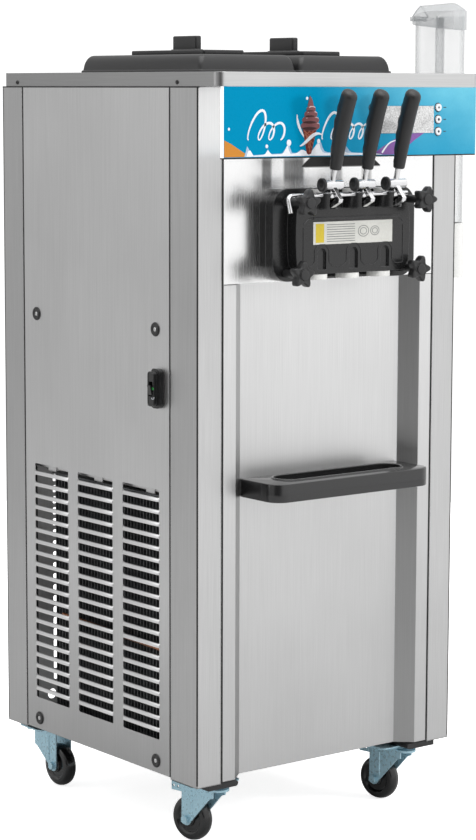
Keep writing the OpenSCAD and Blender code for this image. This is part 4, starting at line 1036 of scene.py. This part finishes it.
def cone_hood():
    """Clear hood of the cone tubes: a narrow gable at the hinge, a round and deeper nose at the front."""
    lo, hi = node_box("cone_lid")
    x = (lo.x + hi.x) / 2
    half, gable_half = (hi.x - lo.x) / 2, 18
    hinge = joint_place("cone_lid_open")
    rear, front = hinge.y - 8, lo.y
    flare, nose = 24, half
    # Places along the hood with its half width there: gable, flare, straight sides, round nose
    stations = [(rear, gable_half)]
    stations += [(rear - flare * t, gable_half + (half - gable_half) * math.sin(a))
                 for t, a in zip(fractions(4)[1:], quarter_turn(4)[1:])]
    straight = rear - flare - front - nose
    stations += [(rear - flare - straight * t, half) for t in fractions(4)[1:]]
    stations += [(front + nose - nose * math.sin(a), half * max(math.cos(a), 0.16))
                 for a in quarter_turn(8)[1:]]
    rings = []
    for y, w in stations:
        t = (rear - y) / (rear - front)
        skirt = lo.z + 7 - 11 * t
        eave = hi.z - 23 + 8 * min(1, 2.5 * t)
        ridge = hi.z - 4 + 4 * t
        rise = (ridge - eave) * (w / half if t > 0.5 else 1.0)
        shoulder = eave + 0.56 * rise
        rings.append([(x - w, y, skirt), (x - w, y, eave), (x - 0.5 * w, y, shoulder), (x, y, eave + rise),
                      (x + 0.5 * w, y, shoulder), (x + w, y, eave), (x + w, y, skirt)])
    shape = Mesh()
    shape.loft(rings)
    shape.turned_x(hinge.y, hinge.z, [(2, x - 11), (2, x + 11)], 16)
    for sx in (-1, 1):
        ear = x + sx * 13
        shape.box((ear - 1.5, rear - 1, hinge.z - 2.5), (ear + 1.5, hinge.y + 2.5, hinge.z + 5), 0.4)
    shape.done("cone_hood", CLEAR_LID, "cone_lid", 30, "clear_tube", "cone_lid")
    gable = [(px, rear, pz) for px, _, pz in rings[0][1:6]]
    rim = Mesh()
    rim.pipe(gable, 0.8, 6)
    rim.pipe([gable[0], gable[-1]], 0.7, 6)
    rim.done("cone_hood_rim", CLEAR_EDGE, "cone_lid", 60, "clear_tube")


# ---- cabinet details ----

def seam_and_shadow_strips():
    """Black lines of the cabinet: black strips in the seams beside the posts, painted dark lines on the folds
    of the posts, and painted shadow strips in the gaps under the cap and the fascia.
    """
    outer_x, outer_y = POSTS_HI.x, POSTS_HI.y
    upright = (PANEL_LO.z + 1, PANEL_HI.z)
    sunk, strip_d = 0.9, 8
    near, far = 0.1, 3.4                 # a seam's two sides, from the panel's edge
    fold_out, fold_in = 0.12, 1.9
    gap = 2.0
    shape = Mesh()
    for sx in (-1, 1):
        for edge_y, sy in ((PANEL_LO.y, -1), (PANEL_HI.y, 1)):
            shape.between((sx * (outer_x - sunk), sx * (outer_x - strip_d)),
                          (edge_y + sy * near, edge_y + sy * far), upright, 0.3)
        for sy in (-1, 1):
            shape.between((sx * (FACE_HI.x + near), sx * (FACE_HI.x + far)),
                          (sy * (outer_y - sunk), sy * (outer_y - strip_d)), upright, 0.3)
            # Painted dark line on each post's fold, for its dark reflection
            shape.between((sx * (outer_x + fold_out), sx * (outer_x - fold_in)),
                          (sy * (outer_y + fold_out), sy * (outer_y - fold_in)), upright, 0.1)
        # Painted shadow in the gap under the cap
        shape.between((sx * (outer_x + 0.5), sx * (outer_x - 4)), (-outer_y, outer_y),
                      (CAP_LO.z - gap, CAP_LO.z - 0.05), 0.1)
    # Painted shadow in the gap under the fascia
    shape.between((FASCIA_LO.x, FASCIA_HI.x), (FASCIA_LO.y + 0.2, FASCIA_LO.y + 9),
                  (FASCIA_LO.z - gap, FASCIA_LO.z - 0.05), 0.1)
    shape.done("seam_and_shadow_strips", SEAM_AND_SHADOW_BLACK)


def louvre_lips():
    """Lips of the louvres: each strip between two slots leans out at its lower edge."""
    rows, pitch, slot_h, slot_l, gap = 21, 20, 13, 103, 29
    first = PANEL_LO.z + 56
    lean, taper = 2.2, 3
    half = slot_l / 2 + 1
    ends = ((-half, 0.0), (taper - half, 1.0), (half - taper, 1.0), (half, 0.0))
    shape = Mesh()
    for sx in (-1, 1):
        skin = sx * POSTS_HI.x
        for column in (-1, 0, 1):
            mid_y = PANEL_MID.y + column * (slot_l + gap)
            for row in range(rows - 1):
                top = first + (row + 1) * pitch
                low = first + row * pitch + slot_h
                section = ((0, top), (0.35 * lean, top - 1.2), (lean, low + 1.5), (0.9 * lean, low + 0.4),
                           (0, low + 0.1))
                shape.loft([[(skin + sx * (0.02 + reach * out), mid_y + y, z) for out, z in section]
                            for y, reach in ends])
    # The lips wear a lighter steel tone, painted as the light they catch
    shape.done("louvre_lips", STEEL_LIP_PAINTED_LIT, "cabinet", 30, "stainless_side")


def panel_screws():
    """Countersunk washers and screw heads of the side panels, and the small cap screws."""
    lo, hi = node_box("panel_screws")
    # Profiles are (radius, height over the panel)
    washer = ((11.5, 0), (11.5, 0.8), (10.7, 1.8), (8.6, 2.4), (6.4, 2.2), (5.2, 1.2), (4.3, 1.1), (3.9, 0.8))
    head = ((3.8, 0.7), (3.7, 1.5), (2.9, 1.9), (1.3, 2.0), (1.1, 1.2))
    cap_screw = ((3.6, -0.5), (3.6, 0.7), (3.0, 1.6), (1.4, 2.0), (0.9, 1.2))
    half_span, low, high, cap_screw_inset = 174, 19.5, 728, 3.5
    washers, heads = Mesh(), Mesh()
    for sx in (-1, 1):
        def on_skin(profile):
            return [(r, sx * (POSTS_HI.x + out)) for r, out in profile]

        for sy in (-1, 1):
            for up in (low, high):
                y, z = PANEL_MID.y + sy * half_span, PANEL_LO.z + up
                washers.turned_x(y, z, on_skin(washer))
                heads.turned_x(y, z, on_skin(head), 20)
        for y in (lo.y + cap_screw_inset, hi.y - cap_screw_inset):
            washers.turned_x(y, CAP_LO.z + 6.5, on_skin(cap_screw), 20)
    washers.done("screw_washers", SCREW_BLACK, "cabinet", 50, "screw_black", "panel_screws")
    heads.done("screw_heads", STUD, crease=50)


def breaker_details():
    """Status dot and curved mark beside the rocker of the breaker, and the rim of its housing."""
    x = node_box("breaker_housing")[0].x
    place = joint_place("breaker_rocker_tilt")
    dot = Mesh()
    dot.turned_x(place.y - 6.5, place.z + 1, ((2.4, x + 0.3), (2.4, x - 0.2), (1.6, x - 0.6)), 20)
    dot.done("breaker_dot", STATUS_GREEN, crease=50)
    mark_r, mark_y, mark_z = 3.2, place.y - 6, place.z - 13
    arc = [math.pi * (0.9 + t) for t in fractions(10)]
    mark = Mesh()
    mark.pipe([(x - 0.2, mark_y + mark_r * math.cos(a), mark_z + mark_r * math.sin(a)) for a in arc], 0.5, 6)
    mark.done("breaker_mark", INK_WHITE, crease=50)
    half_w, half_h = 7.5, 26.5
    turns = ((-1, -1), (1, -1), (1, 1), (-1, 1), (-1, -1), (1, -1))
    rim = Mesh()
    corners = [(x - 0.1, place.y + sy * half_w, place.z + sz * half_h) for sy, sz in turns]
    rim.pipe(rounded_path(corners, 5, 5), 0.7, 6)
    rim.done("breaker_rim", BREAKER_BLACK, crease=60)


def pipes():
    """Copper refrigerant pipes behind the left louvres, and a tin bracket above them."""
    def inside(x, y, z):
        """Place measured from the cabinet's lower, left, front corner."""
        return POSTS_LO.x + x, POSTS_LO.y + y, PANEL_LO.z + z

    # Each run: its corners, the radius of its bends and the radius of the pipe
    riser = [(42, 91, 30), (42, 91, 360), (42, 95, 470), (120, 131, 500), (210, 161, 520), (310, 321, 480)]
    return_line = [(18, 411, 210), (18, 131, 202), (18, 85, 198), (45, 81, 180), (45, 81, 30)]
    suction_line = [(380, 341, 150), (380, 221, 180), (270, 141, 260), (150, 121, 300), (42, 103, 310),
                    (34, 103, 440)]
    copper = Mesh()
    for corners, bend, radius in ((riser, 22, 4.5), (return_line, 16, 4.0), (suction_line, 25, 5.0)):
        copper.pipe(rounded_path([inside(*corner) for corner in corners], bend), radius)
    copper.done("refrigerant_pipes", COPPER, crease=50)
    front, rear, shelf = 85, 486, 470
    bracket = Mesh()
    bracket.box(inside(12, front, shelf - 8), inside(14, rear, shelf))
    bracket.box(inside(13, front, shelf), inside(48, rear, shelf + 1.5))
    for y in (141, 291, 431):
        bracket.box(inside(10, y - 12, shelf - 12), inside(12, y + 12, shelf + 10))
    bracket.done("inner_bracket", STEEL_SIDE)


# ---- building the pieces ----

for side in ("left", "right"):
    hopper_lid(side)
    filler_cover(side)
    for row in ("upper", "lower"):
        star_knob(row, side)
for side in SIDES:
    handle_grip(side)
for corner in CORNERS:
    castor_wheel(corner)
    castor_race(corner)
head_trim()
head_label()
fascia_art()
button_art()
drip_tray()
cone_hood()
seam_and_shadow_strips()
louvre_lips()
panel_screws()
breaker_details()
pipes()


# ---- studio ----

CAMERA_PLACE = Vector((-2.5685, -3.3786, 1.22593))     # metres
CAMERA_LENS = 106.18                                   # millimetres, on a sensor 36 mm wide
CAMERA_YAW, CAMERA_PITCH, CAMERA_ROLL = 37.506, 7.562, -0.16
FLOOR_RADIUS = 3200
FLOOR_GLOW = 0.78         # only the camera sees it, so that the floor blends into the white behind it
ROOM_LIGHT = 0.60


def in_scene(thing):
    bpy.context.scene.collection.objects.link(thing)
    return thing


def studio_floor():
    """Pale round floor."""
    shape = Mesh()
    centre = Vector((0, 0, 0))
    profile = ((FLOOR_RADIUS, -20), (FLOOR_RADIUS, -1), (FLOOR_RADIUS - 30, 0))
    shape.loft([circle_z(centre, r, z, 96) for r, z in profile])
    mesh = bpy.data.meshes.new("studio_floor")
    mesh.from_pydata([Vector(p) * MM for p in shape.points], [], shape.faces)
    material = plain("floor_white", (0.90, 0.90, 0.90, 1), 0.8, bump=0.0, wear=0.0)
    tree = material.node_tree
    bsdf = tree.nodes["Principled BSDF"]
    seen = add_node(tree, "LightPath").outputs["Is Camera Ray"]
    direct = bsdf.inputs["Base Color"].links[0].from_socket
    link(tree, mix_colour(tree, seen, (0.62, 0.62, 0.62, 1), direct), bsdf.inputs["Base Color"])
    set_inputs(bsdf, Emission_Color=WHITE)
    link(tree, times(tree, seen, FLOOR_GLOW), bsdf.inputs["Emission Strength"])
    mesh.materials.append(material)
    in_scene(bpy.data.objects.new("studio_floor", mesh))


def studio_world():
    """White for the camera; for reflections a pale room, dark behind the camera."""
    world = bpy.data.worlds.new("studio_world")
    bpy.context.scene.world = world
    world.use_nodes = True
    tree = world.node_tree
    direction = coordinate(tree, "Generated")

    def lobe(way, start, full, amount):
        """Amount of light, which fades in from start to full as a direction nears the way given."""
        nearness = dot_product(tree, direction, Vector(way).normalized())
        ramp = add_node(tree, "MapRange", From_Min=start, From_Max=full, To_Max=amount)
        ramp.interpolation_type = "SMOOTHSTEP"
        link(tree, nearness, ramp.inputs["Value"])
        return ramp.outputs["Result"]

    front_right, behind_camera = (0.61, -0.79, 0), (-0.68, -0.73, 0)
    up, down = (0, 0, 1), (0, 0, -1)
    light = maths(tree, "ADD", ROOM_LIGHT, lobe(front_right, 0.2, 0.9, 0.42))
    light = maths(tree, "ADD", light, lobe(up, 0.3, 0.9, 0.5))
    light = maths(tree, "SUBTRACT", light, lobe(behind_camera, 0.82, 0.97, 0.50))
    light = maths(tree, "SUBTRACT", light, lobe(down, 0.0, 0.5, 0.15))
    seen = add_node(tree, "LightPath").outputs["Is Camera Ray"]
    shown = mix_colour(tree, seen, grey(tree, light), (1.15, 1.15, 1.15, 1))
    link(tree, shown, tree.nodes["Background"].inputs["Color"])


def area_light(name, place, target, size, power, mirrored=True):
    """Square soft light aimed at a target, in metres and watts. Shiny surfaces show it only when mirrored."""
    data = bpy.data.lights.new(name, "AREA")
    data.size = size
    data.energy = power
    lamp = in_scene(bpy.data.objects.new(name, data))
    lamp.location = place
    lamp.rotation_euler = (Vector(target) - Vector(place)).to_track_quat("-Z", "Y").to_euler()
    lamp.visible_glossy = mirrored


def studio_camera():
    data = bpy.data.cameras.new("photo_camera")
    data.lens = CAMERA_LENS
    data.sensor_width = 36
    camera = in_scene(bpy.data.objects.new("photo_camera", data))
    camera.location = CAMERA_PLACE
    camera.rotation_mode = "XYZ"
    camera.rotation_euler = [math.radians(angle) for angle in (90 - CAMERA_PITCH, CAMERA_ROLL, -CAMERA_YAW)]
    bpy.context.scene.camera = camera


studio_floor()
studio_world()
area_light("key_light", (1.85, -2.95, 1.68), (0, -0.34, 1.18), 0.35, 30, mirrored=False)
area_light("top_light", (-0.4, -0.8, 3.6), (0, 0, 0.4), 2.6, 40)
area_light("left_light", (-3.2, 1.4, 1.6), (0, 0, 0.6), 1.6, 8)
studio_camera()
bpy.context.scene.view_settings.view_transform = "Standard"
